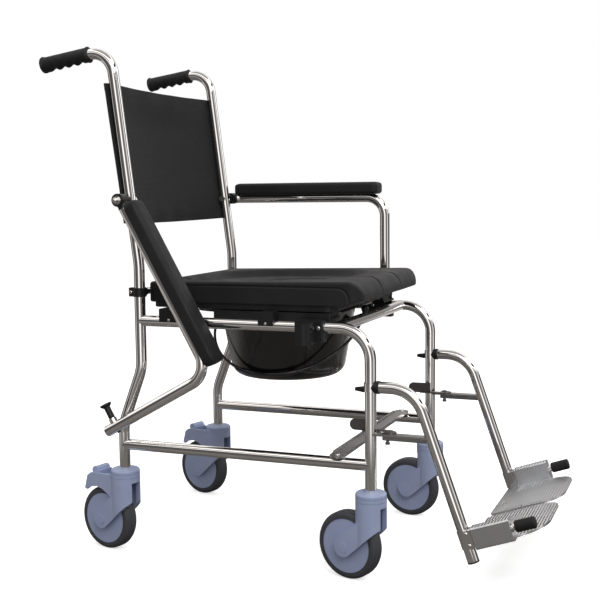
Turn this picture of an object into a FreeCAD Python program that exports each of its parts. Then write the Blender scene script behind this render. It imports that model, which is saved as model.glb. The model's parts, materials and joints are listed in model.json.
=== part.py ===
import FreeCAD, Part
import math
import os
from FreeCAD import Matrix, Placement, Rotation, Vector

# Commode chair on four casters, millimetres.
# +Z is up, the user faces -Y, +X is the user's left. The origin is on the floor, under the
# middle of the chair's outline. "d" is a distance behind the front legs' axis.

os.makedirs("parts", exist_ok=True)

# ---------------------------------------------------------------- driving dimensions
TUBE_R = 11.1
TUBE_WALL = 1.5
HALF_WIDTH = 220.0
FRONT_LEG_Y = -190.4
WHEELBASE = 535.0
RUNNING = 0.08
GAP = 0.3
SCREW_R = 1.8

CASTER_TOP_Z = 176.0
LOWER_RAIL_Z = 227.0
SEAT_RAIL_Z = 486.0
POST_D = 490.0
POST_KINK_LOW_Z = 270.0
POST_KINK_HIGH_Z = 387.0
LEAN_START_Z = 600.0
HANDLE_D = 544.0
HANDLE_Z = 1030.0
HANDLE_END_D = 700.0
HANDLE_END_Z = 1008.0
GRIP_LENGTH = 108.0
GRIP_R = 15.5
GRIP_GROOVES = 4
GRIP_GROOVE_PITCH = 21.5
FRONT_BEND_R = 60.0
FRONT_CROSS_D = 68.0

ARM_X = 259.0
ARM_PIVOT_D = 506.5
ARM_PIVOT_Z = 730.0
ARM_LEG_D = 118.3
ARM_END_Z = 462.0
ARM_BEND_R = 44.0
ARM_DROP_DEG = 60.7
ARM_PIN_Z = 486.0
ARM_PAD_WIDTH = 50.0
ARM_PAD_THICK = 28.0
ARM_PAD_LIFT = 7.0
ARM_PAD_SETBACK = 12.0
PIVOT_BOLT_R = 4.0
PLUNGER_PIN_R = 3.5
PLUNGER_REACH = 13.5
PLUNGER_STEM_R = 5.0
PLUNGER_BODY_R = 6.5
PLUNGER_HEAD_R = 12.0

SEAT_HALF_WIDTH = 205.0
SEAT_FRONT_D = 23.0
SEAT_UNDERCUT_DEPTH = 50.0
SEAT_UNDERCUT_RISE = 13.0
SEAT_REAR_D = 475.0
SEAT_BASE_Z = 513.0
SEAT_BASE_THICK = 10.0
SEAT_TOP_Z = 568.0
SEAT_HINGE_Z = 544.0
HINGE_ROD_R = 7.0
APERTURE_D = 255.0
APERTURE_R = 115.0
TONGUE_HALF_WIDTH = 65.0
APERTURE_LEDGE = 12.0

PAN_TOP_Z = 504.5
PAN_TOP_R = 145.0
PAN_BOTTOM_R = 118.0
PAN_BOTTOM_Z = 356.0
PAN_WALL = 3.0
PAN_FLANGE_HALF = 157.0
PAN_FLANGE_THICK = 3.0
BAIL_R = 164.0
BAIL_ROD_R = 3.0
BAIL_Z = 474.0
BAIL_HANG_DEG = 38.0

HANGER_TOP_Z = 377.0
HANGER_CORNER_D = -86.0
HANGER_BEND_R = 66.0
HANGER_SLANT_DEG = 19.5
HANGER_END_Z = 65.0
BRACKET_Z = 288.0
CARRIER_Z = 115.0
PLATE_REACH = 212.0
PLATE_THICK = 4.0
BARREL_HALF_WIDTH = 14.0
BARREL_START = 16.5
BARREL_END = 90.0
BARREL_TOP = 9.0
BARREL_BOTTOM = -33.0
ROD_N = -10.0
FOOT_ROD_R = 5.0
FOOT_KNOB_R = 11.0

WHEEL_R = 66.0
WHEEL_WIDTH = 32.0
TYRE_ROUNDING = 9.0
HUB_R = 52.5
TRAIL = 48.0
CASTER_SWIVEL_DEG = {
    "front_right": -15.0,
    "rear_right": -13.0,
    "front_left": -9.0,
    "rear_left": -15.0,
}
STEM_R = 5.5
AXLE_R = 4.0
FORK_R = 30.0
FORK_BOTTOM_Z = 149.0
FORK_SEAM_DROPS = (9.5, 17.5)
FORK_SEAM_HEIGHT = 1.6
FORK_SEAM_DEPTH = 1.2
CHEEK_INNER = 18.5
CHEEK_OUTER = 27.0
CHEEK_SLOPE_DEG = 42.0
FRONT_SLOT_HALF = 11.0
FRONT_WALL = 12.0
BOSS_R = 19.0
PEDAL_PIVOT_Y = 60.0
PEDAL_PIVOT_Z = CASTER_TOP_Z - 26
PEDAL_PIN_R = 3.0
PEDAL_WIDTH = 36.0
TOE_LENGTH = 34.0
TOE_DROOP_DEG = 22.0

X_AXIS = Vector(1, 0, 0)
Y_AXIS = Vector(0, 1, 0)
Z_AXIS = Vector(0, 0, 1)
SIDES = {"right": -1.0, "left": 1.0}


# ---------------------------------------------------------------- helpers
def at(x, d, z):
    """A point given by its distance behind the front legs."""
    return Vector(x, FRONT_LEG_Y + d, z)


def export(name, *solids):
    """Write one sub-part, made of one or more separate solids."""
    shape = solids[0] if len(solids) == 1 else Part.makeCompound(list(solids))
    shape.exportStep("parts/" + name + ".step")


def cylinder(start, direction, radius, length):
    return Part.makeCylinder(radius, length, start, direction)


def block(x0, x1, d0, d1, z0, z1):
    """A box between two lateral, two front-to-back and two height limits."""
    return Part.makeBox(x1 - x0, d1 - d0, z1 - z0, at(x0, d0, z0))


def fuse(shapes):
    result = shapes[0]
    for shape in shapes[1:]:
        result = result.fuse(shape)
    return result.removeSplitter()


def bent_path(points, radii):
    """Straight runs through the points, with an arc of the given radius at each inner one."""
    edges = []
    start = points[0]
    for index in range(1, len(points) - 1):
        corner = points[index]
        before = (corner - points[index - 1]).normalize()
        after = (points[index + 1] - corner).normalize()
        turn = before.getAngle(after)
        reach = radii[index - 1] * math.tan(turn / 2)
        arc_start = corner - before * reach
        arc_end = corner + after * reach
        inward = (after - before).normalize()
        centre_distance = radii[index - 1] / math.cos(turn / 2)
        middle = corner + inward * (centre_distance - radii[index - 1])
        edges.append(Part.makeLine(start, arc_start))
        edges.append(Part.Arc(arc_start, middle, arc_end).toShape())
        start = arc_end
    edges.append(Part.makeLine(start, points[-1]))
    return Part.Wire(edges)


def sweep(path, radius, start, direction):
    ring = Part.Wire([Part.makeCircle(radius, start, direction)])
    return path.makePipeShell([ring], True, False)


def tube_solid(points, radii, radius=TUBE_R):
    """The full outside of a bent tube, with no bore."""
    path = bent_path(points, radii)
    return sweep(path, radius, points[0], points[1] - points[0])


def tube(points, radii, radius=TUBE_R, wall=TUBE_WALL):
    """A bent tube with its bore."""
    outside = tube_solid(points, radii, radius)
    return outside.cut(tube_solid(points, radii, radius - wall))


def dome_screw(point, direction, head_r=3.6, head_h=2.2, shank=8.0):
    """A domed screw: the head stands on the point, the shank goes the other way."""
    head = cylinder(point, direction, head_r, head_h)
    top = point + direction * head_h
    rim = [edge for edge in head.Edges if edge.Closed and edge.CenterOfMass.distanceToPoint(top) < 0.1]
    head = head.makeFillet(head_h * 0.8, rim)
    screw = head.fuse(cylinder(point, direction * -1, SCREW_R, shank)).removeSplitter()
    return screw.Solids[0]


def mirrored(shape):
    """The same part for the other side of the chair."""
    return shape.mirror(Vector(0, 0, 0), X_AXIS)


def turned(shape, centre, axis, degrees):
    copy = shape.copy()
    copy.rotate(centre, axis, degrees)
    return copy


def export_pair(name, left_solids):
    """Write the left part as drawn and the right part as its mirror image."""
    export("left_" + name, *left_solids)
    export("right_" + name, *[mirrored(solid) for solid in left_solids])


# ---------------------------------------------------------------- side frames
def back_tube_points():
    return [
        at(HALF_WIDTH, WHEELBASE, CASTER_TOP_Z),
        at(HALF_WIDTH, WHEELBASE, POST_KINK_LOW_Z),
        at(HALF_WIDTH, POST_D, POST_KINK_HIGH_Z),
        at(HALF_WIDTH, POST_D, LEAN_START_Z),
        at(HALF_WIDTH, HANDLE_D, HANDLE_Z),
        at(HALF_WIDTH, HANDLE_END_D, HANDLE_END_Z),
    ]


BACK_BENDS = [90.0, 90.0, 160.0, 46.0]


def front_tube_points():
    return [
        at(HALF_WIDTH, POST_D, SEAT_RAIL_Z),
        at(HALF_WIDTH, 0, SEAT_RAIL_Z),
        at(HALF_WIDTH, 0, CASTER_TOP_Z),
    ]


def lean_direction():
    rise = at(0, HANDLE_D, HANDLE_Z) - at(0, POST_D, LEAN_START_Z)
    return rise.normalize()


def post_point(x, z):
    """The post's axis where it leans back, at a height above the kink."""
    share = (z - LEAN_START_Z) / (HANDLE_Z - LEAN_START_Z)
    return at(x, POST_D + (HANDLE_D - POST_D) * share, z)


def make_frame_tubes(post_screws):
    """Side frames and front cross tube; the posts are drilled for the backrest's screws."""
    back_outside = tube_solid(back_tube_points(), BACK_BENDS)
    front_outside = tube_solid(front_tube_points(), [FRONT_BEND_R])
    back = tube(back_tube_points(), BACK_BENDS)
    for screw in post_screws:
        back = back.cut(screw)
    pivot = at(0, ARM_PIVOT_D, ARM_PIVOT_Z)
    back = back.cut(cylinder(pivot, X_AXIS, PIVOT_BOLT_R, HALF_WIDTH + 20))
    post_stretch = cylinder(at(HALF_WIDTH, POST_D, SEAT_RAIL_Z - 40), Z_AXIS, TUBE_R, 80)
    front = tube(front_tube_points(), [FRONT_BEND_R]).cut(post_stretch)
    export_pair("back_tube", [back])
    export_pair("front_tube", [front])

    rail_ends = [at(HALF_WIDTH, WHEELBASE, LOWER_RAIL_Z), at(HALF_WIDTH, 0, LOWER_RAIL_Z)]
    rail = tube(rail_ends, []).cut(back_outside).cut(front_outside)
    export("lower_side_rails", rail, mirrored(rail))

    cross_ends = [at(-HALF_WIDTH, FRONT_CROSS_D, SEAT_RAIL_Z), at(HALF_WIDTH, FRONT_CROSS_D, SEAT_RAIL_Z)]
    cross = tube(cross_ends, []).cut(front_outside).cut(mirrored(front_outside))
    export("front_cross_tube", cross)


CROSS_BAR_D = 67.0
CROSS_BAR_WIDTH = 30.0
CROSS_BAR_THICK = 4.0
CROSS_BAR_LIP = 3.0


def make_lower_cross_bar():
    """Flat bar with raised edges and rounded ends, bolted down on both lower rails."""
    bottom = LOWER_RAIL_Z + TUBE_R
    half = CROSS_BAR_WIDTH / 2
    plate = block(-HALF_WIDTH, HALF_WIDTH, CROSS_BAR_D - half, CROSS_BAR_D + half,
                  bottom, bottom + CROSS_BAR_THICK)
    ends = [cylinder(at(x, CROSS_BAR_D, bottom), Z_AXIS, half, CROSS_BAR_THICK)
            for x in (-HALF_WIDTH, HALF_WIDTH)]
    rib = block(-HALF_WIDTH + 40, HALF_WIDTH - 40, CROSS_BAR_D - 2, CROSS_BAR_D + 2,
                bottom - 8, bottom)
    lips = [block(-HALF_WIDTH + 16, HALF_WIDTH - 16, CROSS_BAR_D + near, CROSS_BAR_D + near + CROSS_BAR_LIP,
                  bottom, bottom + CROSS_BAR_THICK + CROSS_BAR_LIP)
            for near in (-half, half - CROSS_BAR_LIP)]
    bar = fuse([plate, rib] + ends + lips)
    for x in (-HALF_WIDTH, HALF_WIDTH):
        bar = bar.cut(cylinder(at(x, CROSS_BAR_D, bottom), Z_AXIS, SCREW_R, CROSS_BAR_THICK))
    export("lower_cross_bar", bar)


CLAMP_R = 14.0
CLAMP_HEIGHT = 18.0


def make_seat_hinge_rod():
    """Round rod between the back posts, held by a ring clamp on each post."""
    rod_end = HALF_WIDTH - CLAMP_R + 1
    rod = cylinder(at(-rod_end, POST_D, SEAT_HINGE_Z), X_AXIS, HINGE_ROD_R, 2 * rod_end)
    export("rear_cross_rod", rod)
    centre = at(HALF_WIDTH, POST_D, SEAT_HINGE_Z - CLAMP_HEIGHT / 2)
    ring = cylinder(centre, Z_AXIS, CLAMP_R, CLAMP_HEIGHT)
    socket = cylinder(at(HALF_WIDTH - CLAMP_R - 6, POST_D, SEAT_HINGE_Z), X_AXIS, 9.0, 12.0)
    ears = block(HALF_WIDTH - 6, HALF_WIDTH + 6, POST_D + 10, POST_D + 22,
                 SEAT_HINGE_Z - CLAMP_HEIGHT / 2, SEAT_HINGE_Z + CLAMP_HEIGHT / 2)
    clamp = fuse([ring, socket, ears])
    clamp = clamp.cut(cylinder(centre, Z_AXIS, TUBE_R, CLAMP_HEIGHT)).cut(rod)
    slit = block(HALF_WIDTH - 0.8, HALF_WIDTH + 0.8, POST_D + 10, POST_D + 22,
                 SEAT_HINGE_Z - CLAMP_HEIGHT / 2, SEAT_HINGE_Z + CLAMP_HEIGHT / 2)
    clamp = clamp.cut(slit)
    bolt_line = at(HALF_WIDTH - 6, POST_D + 17, SEAT_HINGE_Z)
    clamp = clamp.cut(cylinder(bolt_line, X_AXIS, SCREW_R, 12.0))
    export("rod_clamps", clamp, mirrored(clamp))
    return dome_screw(bolt_line + X_AXIS * 12.0, X_AXIS, shank=12.0)


def make_push_grips():
    """Moulded grips with finger grooves, pushed over the ends of the handles."""
    end = at(HALF_WIDTH, HANDLE_END_D, HANDLE_END_Z)
    corner = at(HALF_WIDTH, HANDLE_D, HANDLE_Z)
    outward = (end - corner).normalize()
    start = end - outward * GRIP_LENGTH
    body = cylinder(start, outward, GRIP_R, GRIP_LENGTH + 4)
    cap = cylinder(start + outward * (GRIP_LENGTH - 2), outward, GRIP_R + 1.5, 6)
    collar = cylinder(start, outward, GRIP_R + 1.5, 5)
    grip = fuse([body, cap, collar])
    under = outward.cross(X_AXIS).normalize()
    if under.z > 0:
        under = under * -1
    for index in range(GRIP_GROOVES):
        along = 20.0 + index * GRIP_GROOVE_PITCH
        groove = cylinder(start + outward * along + under * (GRIP_R + 8.0) - X_AXIS * 30,
                          X_AXIS, 11.0, 60)
        grip = grip.cut(groove)
    grip = grip.cut(cylinder(start, outward, TUBE_R, GRIP_LENGTH))
    export("push_grips", grip, mirrored(grip))


SLING_LOW_Z = 685.0
SLING_HIGH_Z = 965.0
SLING_THICK = 4.0
SLING_SAG = 26.0
SLING_HALF_WIDTH = 232.0


def make_backrest():
    """Fabric panel behind the posts, sagging backwards between them, and its screws."""
    low = post_point(0, SLING_LOW_Z)
    up = lean_direction()
    back = Vector(0, up.z, -up.y)
    offset = TUBE_R + 0.4
    height = (SLING_HIGH_Z - SLING_LOW_Z) / up.z
    flat = HALF_WIDTH - 14.0

    def place(x, depth):
        return low + X_AXIS * x + back * (offset + depth)

    def panel_edges(extra):
        left_out = place(-SLING_HALF_WIDTH, extra)
        left_in = place(-flat, extra)
        middle = place(0, SLING_SAG + extra)
        right_in = place(flat, extra)
        right_out = place(SLING_HALF_WIDTH, extra)
        return [left_out, left_in, middle, right_in, right_out]

    near = panel_edges(0)
    far = panel_edges(SLING_THICK)
    edges = [
        Part.makeLine(near[0], near[1]),
        Part.Arc(near[1], near[2], near[3]).toShape(),
        Part.makeLine(near[3], near[4]),
        Part.makeLine(near[4], far[4]),
        Part.makeLine(far[4], far[3]),
        Part.Arc(far[3], far[2], far[1]).toShape(),
        Part.makeLine(far[1], far[0]),
        Part.makeLine(far[0], near[0]),
    ]
    panel = Part.Face(Part.Wire(edges)).extrude(up * height)
    screws = []
    for share in (0.06, 0.35, 0.65, 0.94):
        for x in (-HALF_WIDTH, HALF_WIDTH):
            point = place(x, SLING_THICK) + up * (height * share)
            panel = panel.cut(cylinder(point + back * 2, back * -1, SCREW_R, 10))
            screws.append(dome_screw(point, back, head_r=4.5, shank=7.0))
    export("backrest_sling", panel)
    return screws


# ---------------------------------------------------------------- arms
def arm_points(x):
    return [
        at(x, ARM_PIVOT_D - 19, ARM_PIVOT_Z),
        at(x, ARM_LEG_D, ARM_PIVOT_Z),
        at(x, ARM_LEG_D, ARM_END_Z),
    ]


def make_arm_tube():
    """Bent arm tube with the guide bush of its locking plunger on the rear of the leg."""
    points = arm_points(ARM_X)
    outside = tube_solid(points, [ARM_BEND_R])
    arm = tube(points, [ARM_BEND_R])
    pin_line = at(ARM_X, ARM_LEG_D - 20, ARM_PIN_Z)
    bush = cylinder(at(ARM_X, ARM_LEG_D, ARM_PIN_Z), Y_AXIS, 8.0, 19.0).cut(outside)
    arm = arm.fuse(bush).removeSplitter()
    arm = arm.cut(cylinder(pin_line, Y_AXIS, PLUNGER_PIN_R + RUNNING, 40))
    return arm.cut(cylinder(at(ARM_X, ARM_LEG_D + 12.5, ARM_PIN_Z), Y_AXIS,
                            PLUNGER_STEM_R + RUNNING, 10))


def make_arm_knuckle():
    """Moulded eye for the pivot bolt, with a spigot up the rear end of the arm tube."""
    eye = cylinder(at(ARM_X - 12, ARM_PIVOT_D, ARM_PIVOT_Z), X_AXIS, 13.0, 24.0)
    spacer = cylinder(at(HALF_WIDTH + TUBE_R + 0.5, ARM_PIVOT_D, ARM_PIVOT_Z), X_AXIS, 9.0,
                      ARM_X - HALF_WIDTH - TUBE_R - 0.5)
    spigot = cylinder(at(ARM_X, ARM_PIVOT_D - 50, ARM_PIVOT_Z), Y_AXIS, TUBE_R - TUBE_WALL, 50)
    collar = cylinder(at(ARM_X, ARM_PIVOT_D - 19, ARM_PIVOT_Z), Y_AXIS, TUBE_R, 19)
    knuckle = fuse([eye, spacer, spigot, collar])
    return knuckle.cut(cylinder(at(HALF_WIDTH, ARM_PIVOT_D, ARM_PIVOT_Z), X_AXIS,
                                PIVOT_BOLT_R + RUNNING, 80))


def make_arm_pad():
    """Armrest pad, channelled underneath so that it sits down over the tube."""
    half = ARM_PAD_WIDTH / 2
    bottom = ARM_PIVOT_Z + ARM_PAD_LIFT
    pad = block(ARM_X - half, ARM_X + half, ARM_LEG_D + ARM_PAD_SETBACK, ARM_PIVOT_D - 25,
                bottom, bottom + ARM_PAD_THICK)
    pad = pad.makeFillet(7.0, pad.Edges)
    return pad.cut(tube_solid(arm_points(ARM_X), [ARM_BEND_R], TUBE_R + GAP))


def make_arm_plunger():
    """Pin through the arm's leg, with a long pull and a flared head behind it."""
    pin = cylinder(at(ARM_X, ARM_LEG_D - PLUNGER_REACH, ARM_PIN_Z), Y_AXIS, PLUNGER_PIN_R, 30)
    stem = cylinder(at(ARM_X, ARM_LEG_D + 13, ARM_PIN_Z), Y_AXIS, PLUNGER_STEM_R, 10)
    body = cylinder(at(ARM_X, ARM_LEG_D + 20, ARM_PIN_Z), Y_AXIS, PLUNGER_BODY_R, 26)
    flare = Part.makeCone(PLUNGER_BODY_R, PLUNGER_HEAD_R, 5.0,
                          at(ARM_X, ARM_LEG_D + 43, ARM_PIN_Z), Y_AXIS)
    head = cylinder(at(ARM_X, ARM_LEG_D + 48, ARM_PIN_Z), Y_AXIS, PLUNGER_HEAD_R, 3.0)
    return fuse([pin, stem, body, flare, head])


def make_arms():
    """The left arm is drawn in use; the right arm is drawn the same way and then dropped."""
    pieces = {
        "arm_tube": make_arm_tube(),
        "arm_knuckle": make_arm_knuckle(),
        "arm_pad": make_arm_pad(),
        "arm_plunger": make_arm_plunger(),
    }
    pivot = at(0, ARM_PIVOT_D, ARM_PIVOT_Z)
    for name, solid in pieces.items():
        export("left_" + name, solid)
        export("right_" + name, turned(mirrored(solid), pivot, X_AXIS, ARM_DROP_DEG))


def make_arm_pivot_bolts():
    """Bolt through each post: hexagon head inboard, domed nut outboard of the knuckle."""
    inner = HALF_WIDTH - TUBE_R
    outer = ARM_X + 12 + 0.5
    line = at(inner, ARM_PIVOT_D, ARM_PIVOT_Z)
    head = hexagon(line, 6.5, 5.0, -1)
    shank = cylinder(line, X_AXIS, PIVOT_BOLT_R, outer - inner)
    nut_start = at(outer, ARM_PIVOT_D, ARM_PIVOT_Z)
    nut = hexagon(nut_start, 6.5, 6.0, 1)
    dome = Part.makeSphere(6.0, nut_start + X_AXIS * 6.0)
    washer = cylinder(nut_start, X_AXIS, 9.0, 1.5)
    bolt = fuse([head, shank, nut, dome, washer])
    export("arm_pivot_bolts", bolt, mirrored(bolt))


def hexagon(point, inner_r, length, direction):
    """A hexagonal prism along X, from the point outwards or inwards."""
    corner_r = inner_r / math.cos(math.radians(30))
    corners = []
    for index in range(7):
        angle = math.radians(60 * index)
        corners.append(point + Vector(0, corner_r * math.cos(angle), corner_r * math.sin(angle)))
    return Part.Face(Part.makePolygon(corners)).extrude(X_AXIS * (direction * length))


SOCKET_FACE_X = 235.5
SOCKET_LOW_Z = 457.0
SOCKET_HIGH_Z = 500.0
SOCKET_HALF_LENGTH = 29.0
SOCKET_SCREW_OFFSET = 20.0
CUP_IN = 11.5
CUP_OUT = 14.8


def make_arm_sockets():
    """Block clamped on the seat rail, with a cup open to the rear that stops the arm's leg."""
    body = block(HALF_WIDTH - 9.0, SOCKET_FACE_X, ARM_LEG_D - SOCKET_HALF_LENGTH,
                 ARM_LEG_D + SOCKET_HALF_LENGTH, SOCKET_LOW_Z + 2, SOCKET_HIGH_Z)
    upright = [edge for edge in body.Edges if abs(edge.tangentAt(edge.FirstParameter).z) > 0.9]
    body = body.makeFillet(3.0, upright)
    height = SOCKET_HIGH_Z - 2 - SOCKET_LOW_Z
    centre = at(ARM_X, ARM_LEG_D, SOCKET_LOW_Z)
    rear = ARM_LEG_D + 11.0
    cup = cylinder(centre, Z_AXIS, CUP_OUT, height)
    cup_rear = block(ARM_X - CUP_OUT, ARM_X + CUP_OUT, ARM_LEG_D, rear,
                     SOCKET_LOW_Z, SOCKET_LOW_Z + height)
    web = block(SOCKET_FACE_X - 2, ARM_X, ARM_LEG_D - CUP_OUT, rear,
                SOCKET_LOW_Z, SOCKET_LOW_Z + height)
    hollow = cylinder(centre, Z_AXIS, CUP_IN, height)
    hollow_rear = block(ARM_X - CUP_IN, ARM_X + CUP_IN, ARM_LEG_D, rear + 20,
                        SOCKET_LOW_Z, SOCKET_LOW_Z + height)
    socket = fuse([body, cup, cup_rear, web])
    socket = socket.cut(hollow).cut(hollow_rear)
    socket = socket.cut(cylinder(at(HALF_WIDTH, 0, SEAT_RAIL_Z), Y_AXIS, TUBE_R, POST_D))
    pin_hole = cylinder(at(ARM_X, ARM_LEG_D - 25, ARM_PIN_Z), Y_AXIS, PLUNGER_PIN_R + 0.6, 25)
    socket = socket.cut(pin_hole)
    screws = []
    for offset in (-SOCKET_SCREW_OFFSET, SOCKET_SCREW_OFFSET):
        point = at(SOCKET_FACE_X, ARM_LEG_D + offset, SEAT_RAIL_Z)
        socket = socket.cut(cylinder(point, X_AXIS * -1, SCREW_R, 10))
        screws.append(dome_screw(point, X_AXIS, head_r=4.2, shank=4.4))
    export("arm_sockets", socket, mirrored(socket))
    return screws


# ---------------------------------------------------------------- seat
def keyhole(radius, half_width, z0, z1, front_d):
    """A round opening with a straight channel forward to the front edge."""
    hole = cylinder(at(0, APERTURE_D, z0), Z_AXIS, radius, z1 - z0)
    channel = block(-half_width, half_width, front_d, APERTURE_D, z0, z1)
    return hole.fuse(channel).removeSplitter()


def seat_block(half_width, z0, z1):
    """The seat's outline between two heights; its front overhangs above a sloping underside."""
    side = [
        at(-half_width, SEAT_REAR_D, z0),
        at(-half_width, SEAT_FRONT_D + SEAT_UNDERCUT_DEPTH, z0),
        at(-half_width, SEAT_FRONT_D, z0 + SEAT_UNDERCUT_RISE),
        at(-half_width, SEAT_FRONT_D, z1 - 16),
        at(-half_width, SEAT_FRONT_D + 22, z1),
        at(-half_width, SEAT_REAR_D - 8, z1),
        at(-half_width, SEAT_REAR_D, z1 - 8),
        at(-half_width, SEAT_REAR_D, z0),
    ]
    return Part.Face(Part.makePolygon(side)).extrude(X_AXIS * (2 * half_width))


def make_seat():
    base_top = SEAT_BASE_Z + SEAT_BASE_THICK
    base = block(-SEAT_HALF_WIDTH + 4, SEAT_HALF_WIDTH - 4, SEAT_FRONT_D + SEAT_UNDERCUT_DEPTH + 5,
                 SEAT_REAR_D - 2, SEAT_BASE_Z, base_top)
    upright = [edge for edge in base.Edges if abs(edge.tangentAt(edge.FirstParameter).z) > 0.9]
    base = base.makeFillet(20.0, upright)
    base = base.cut(cylinder(at(0, APERTURE_D, SEAT_BASE_Z), Z_AXIS,
                             APERTURE_R - APERTURE_LEDGE, SEAT_BASE_THICK))

    pad_z0 = base_top + GAP
    body = seat_block(SEAT_HALF_WIDTH, pad_z0, SEAT_TOP_Z)
    corners = [edge for edge in body.Edges if edge.Length < SEAT_TOP_Z - pad_z0
               and abs(edge.tangentAt(edge.FirstParameter).z) > 0.9]
    body = body.makeFillet(14.0, corners)
    opening = keyhole(APERTURE_R, TONGUE_HALF_WIDTH, pad_z0 - 1, SEAT_TOP_Z + 1, 0)
    pad = body.cut(opening)
    plug = keyhole(APERTURE_R - 1.2, TONGUE_HALF_WIDTH - 1.2, pad_z0 - 1, SEAT_TOP_Z + 1, 0)
    insert = body.common(plug)
    export("seat_base", base)
    export("seat_pad", pad)
    export("seat_insert", insert)


STRAP_X = 130.0
STRAP_WIDTH = 34.0
STRAP_THICK = 3.0


def make_hinge_straps():
    """Two straps that wrap the rear rod and run forward under the seat base."""
    straps = []
    outer = HINGE_ROD_R + RUNNING + STRAP_THICK
    for x in (-STRAP_X, STRAP_X):
        eye = cylinder(at(x - STRAP_WIDTH / 2, POST_D, SEAT_HINGE_Z), X_AXIS, outer, STRAP_WIDTH)
        tongue = block(x - STRAP_WIDTH / 2, x + STRAP_WIDTH / 2, POST_D - 110, POST_D - outer + 3,
                       SEAT_BASE_Z - STRAP_THICK, SEAT_BASE_Z)
        riser = block(x - STRAP_WIDTH / 2, x + STRAP_WIDTH / 2, POST_D - outer, POST_D - outer + 3,
                      SEAT_BASE_Z - STRAP_THICK, SEAT_HINGE_Z)
        strap = fuse([eye, tongue, riser])
        bore = cylinder(at(x - STRAP_WIDTH / 2, POST_D, SEAT_HINGE_Z), X_AXIS,
                        HINGE_ROD_R + RUNNING, STRAP_WIDTH)
        straps.append(strap.cut(bore))
    export("seat_hinge_straps", *straps)


REST_DS = (208.0, 418.0)
REST_LENGTHS = (32.0, 44.0)


def make_seat_rests():
    """Saddles on the seat rails that carry the closed seat, and their screws."""
    rests = []
    screws = []
    for d, length in zip(REST_DS, REST_LENGTHS):
        saddle = block(SEAT_HALF_WIDTH - 16, HALF_WIDTH + 13, d - length / 2, d + length / 2,
                       SEAT_RAIL_Z, SEAT_BASE_Z - GAP)
        inner_cut = block(SEAT_HALF_WIDTH - 16, HALF_WIDTH - 11.3, d - length / 2, d + length / 2,
                          SEAT_RAIL_Z, SEAT_BASE_Z - 1.7)
        saddle = saddle.cut(inner_cut)
        saddle = saddle.cut(cylinder(at(HALF_WIDTH, d - length / 2, SEAT_RAIL_Z), Y_AXIS,
                                     TUBE_R, length))
        point = at(HALF_WIDTH + 13, d, SEAT_RAIL_Z + 4.5)
        saddle = saddle.cut(cylinder(point, X_AXIS * -1, SCREW_R, 6))
        screws.append(dome_screw(point, X_AXIS, head_r=3.0, head_h=1.6, shank=2.0))
        rests += [saddle, mirrored(saddle)]
    rests.append(make_round_stop())
    export("seat_rests", *rests)
    return screws


GUIDE_SHELF_Z = 498.0
GUIDE_IN_X = 148.0
GUIDE_OUT_X = HALF_WIDTH - TUBE_R - 0.3
GUIDE_WALL = 4.0
GUIDE_FRONT_D = 86.0
GUIDE_REAR_D = 330.0


def make_pan_guides():
    """Angle runners under the seat for the pan's flange, each closed at its front."""
    shelf = block(GUIDE_IN_X, GUIDE_OUT_X, GUIDE_FRONT_D, GUIDE_REAR_D,
                  GUIDE_SHELF_Z, GUIDE_SHELF_Z + 3)
    wall = block(GUIDE_OUT_X - GUIDE_WALL, GUIDE_OUT_X, GUIDE_FRONT_D, GUIDE_REAR_D,
                 SEAT_RAIL_Z - 6, SEAT_BASE_Z - 2)
    stop = block(GUIDE_IN_X, GUIDE_OUT_X, GUIDE_FRONT_D + 3, GUIDE_FRONT_D + 9,
                 GUIDE_SHELF_Z, SEAT_BASE_Z - 2)
    guide = fuse([shelf, wall, stop])
    screws = []
    for d in (130.0, 290.0):
        point = at(GUIDE_OUT_X - GUIDE_WALL, d, SEAT_RAIL_Z)
        guide = guide.cut(cylinder(point, X_AXIS, SCREW_R, 6))
        screws.append(dome_screw(point, X_AXIS * -1, head_r=3.4, shank=GUIDE_WALL))
    export("pan_guides", guide, mirrored(guide))
    return screws


STOP_X = -44.0
STOP_R = 8.0
STOP_BASE_R = 6.0


def make_round_stop():
    """Round rubber stop that stands on the front cross tube under the seat's front."""
    tube_top = SEAT_RAIL_Z + TUBE_R
    ball = Part.makeSphere(STOP_R, at(STOP_X, FRONT_CROSS_D, tube_top + STOP_R - 0.5))
    base = cylinder(at(STOP_X, FRONT_CROSS_D, SEAT_RAIL_Z), Z_AXIS, STOP_BASE_R, TUBE_R + STOP_R)
    stop = ball.fuse(base).removeSplitter()
    tube_room = cylinder(at(STOP_X - 20, FRONT_CROSS_D, SEAT_RAIL_Z), X_AXIS, TUBE_R, 40)
    return stop.cut(tube_room)


# ---------------------------------------------------------------- pan
def pan_radius(z):
    share = (z - PAN_BOTTOM_Z) / (PAN_TOP_Z - PAN_BOTTOM_Z)
    return PAN_BOTTOM_R + (PAN_TOP_R - PAN_BOTTOM_R) * share


def bowl(inset):
    """The pan's tapered body with a rounded foot, inset by the wall for its inside."""
    low = PAN_BOTTOM_Z + inset
    height = PAN_TOP_Z - low
    body = Part.makeCone(pan_radius(low) - inset, PAN_TOP_R - inset, height,
                         at(0, APERTURE_D, low), Z_AXIS)
    foot = [edge for edge in body.Edges if edge.BoundBox.ZMax < low + 1 and edge.Closed]
    return body.makeFillet(30.0 - inset, foot)


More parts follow.
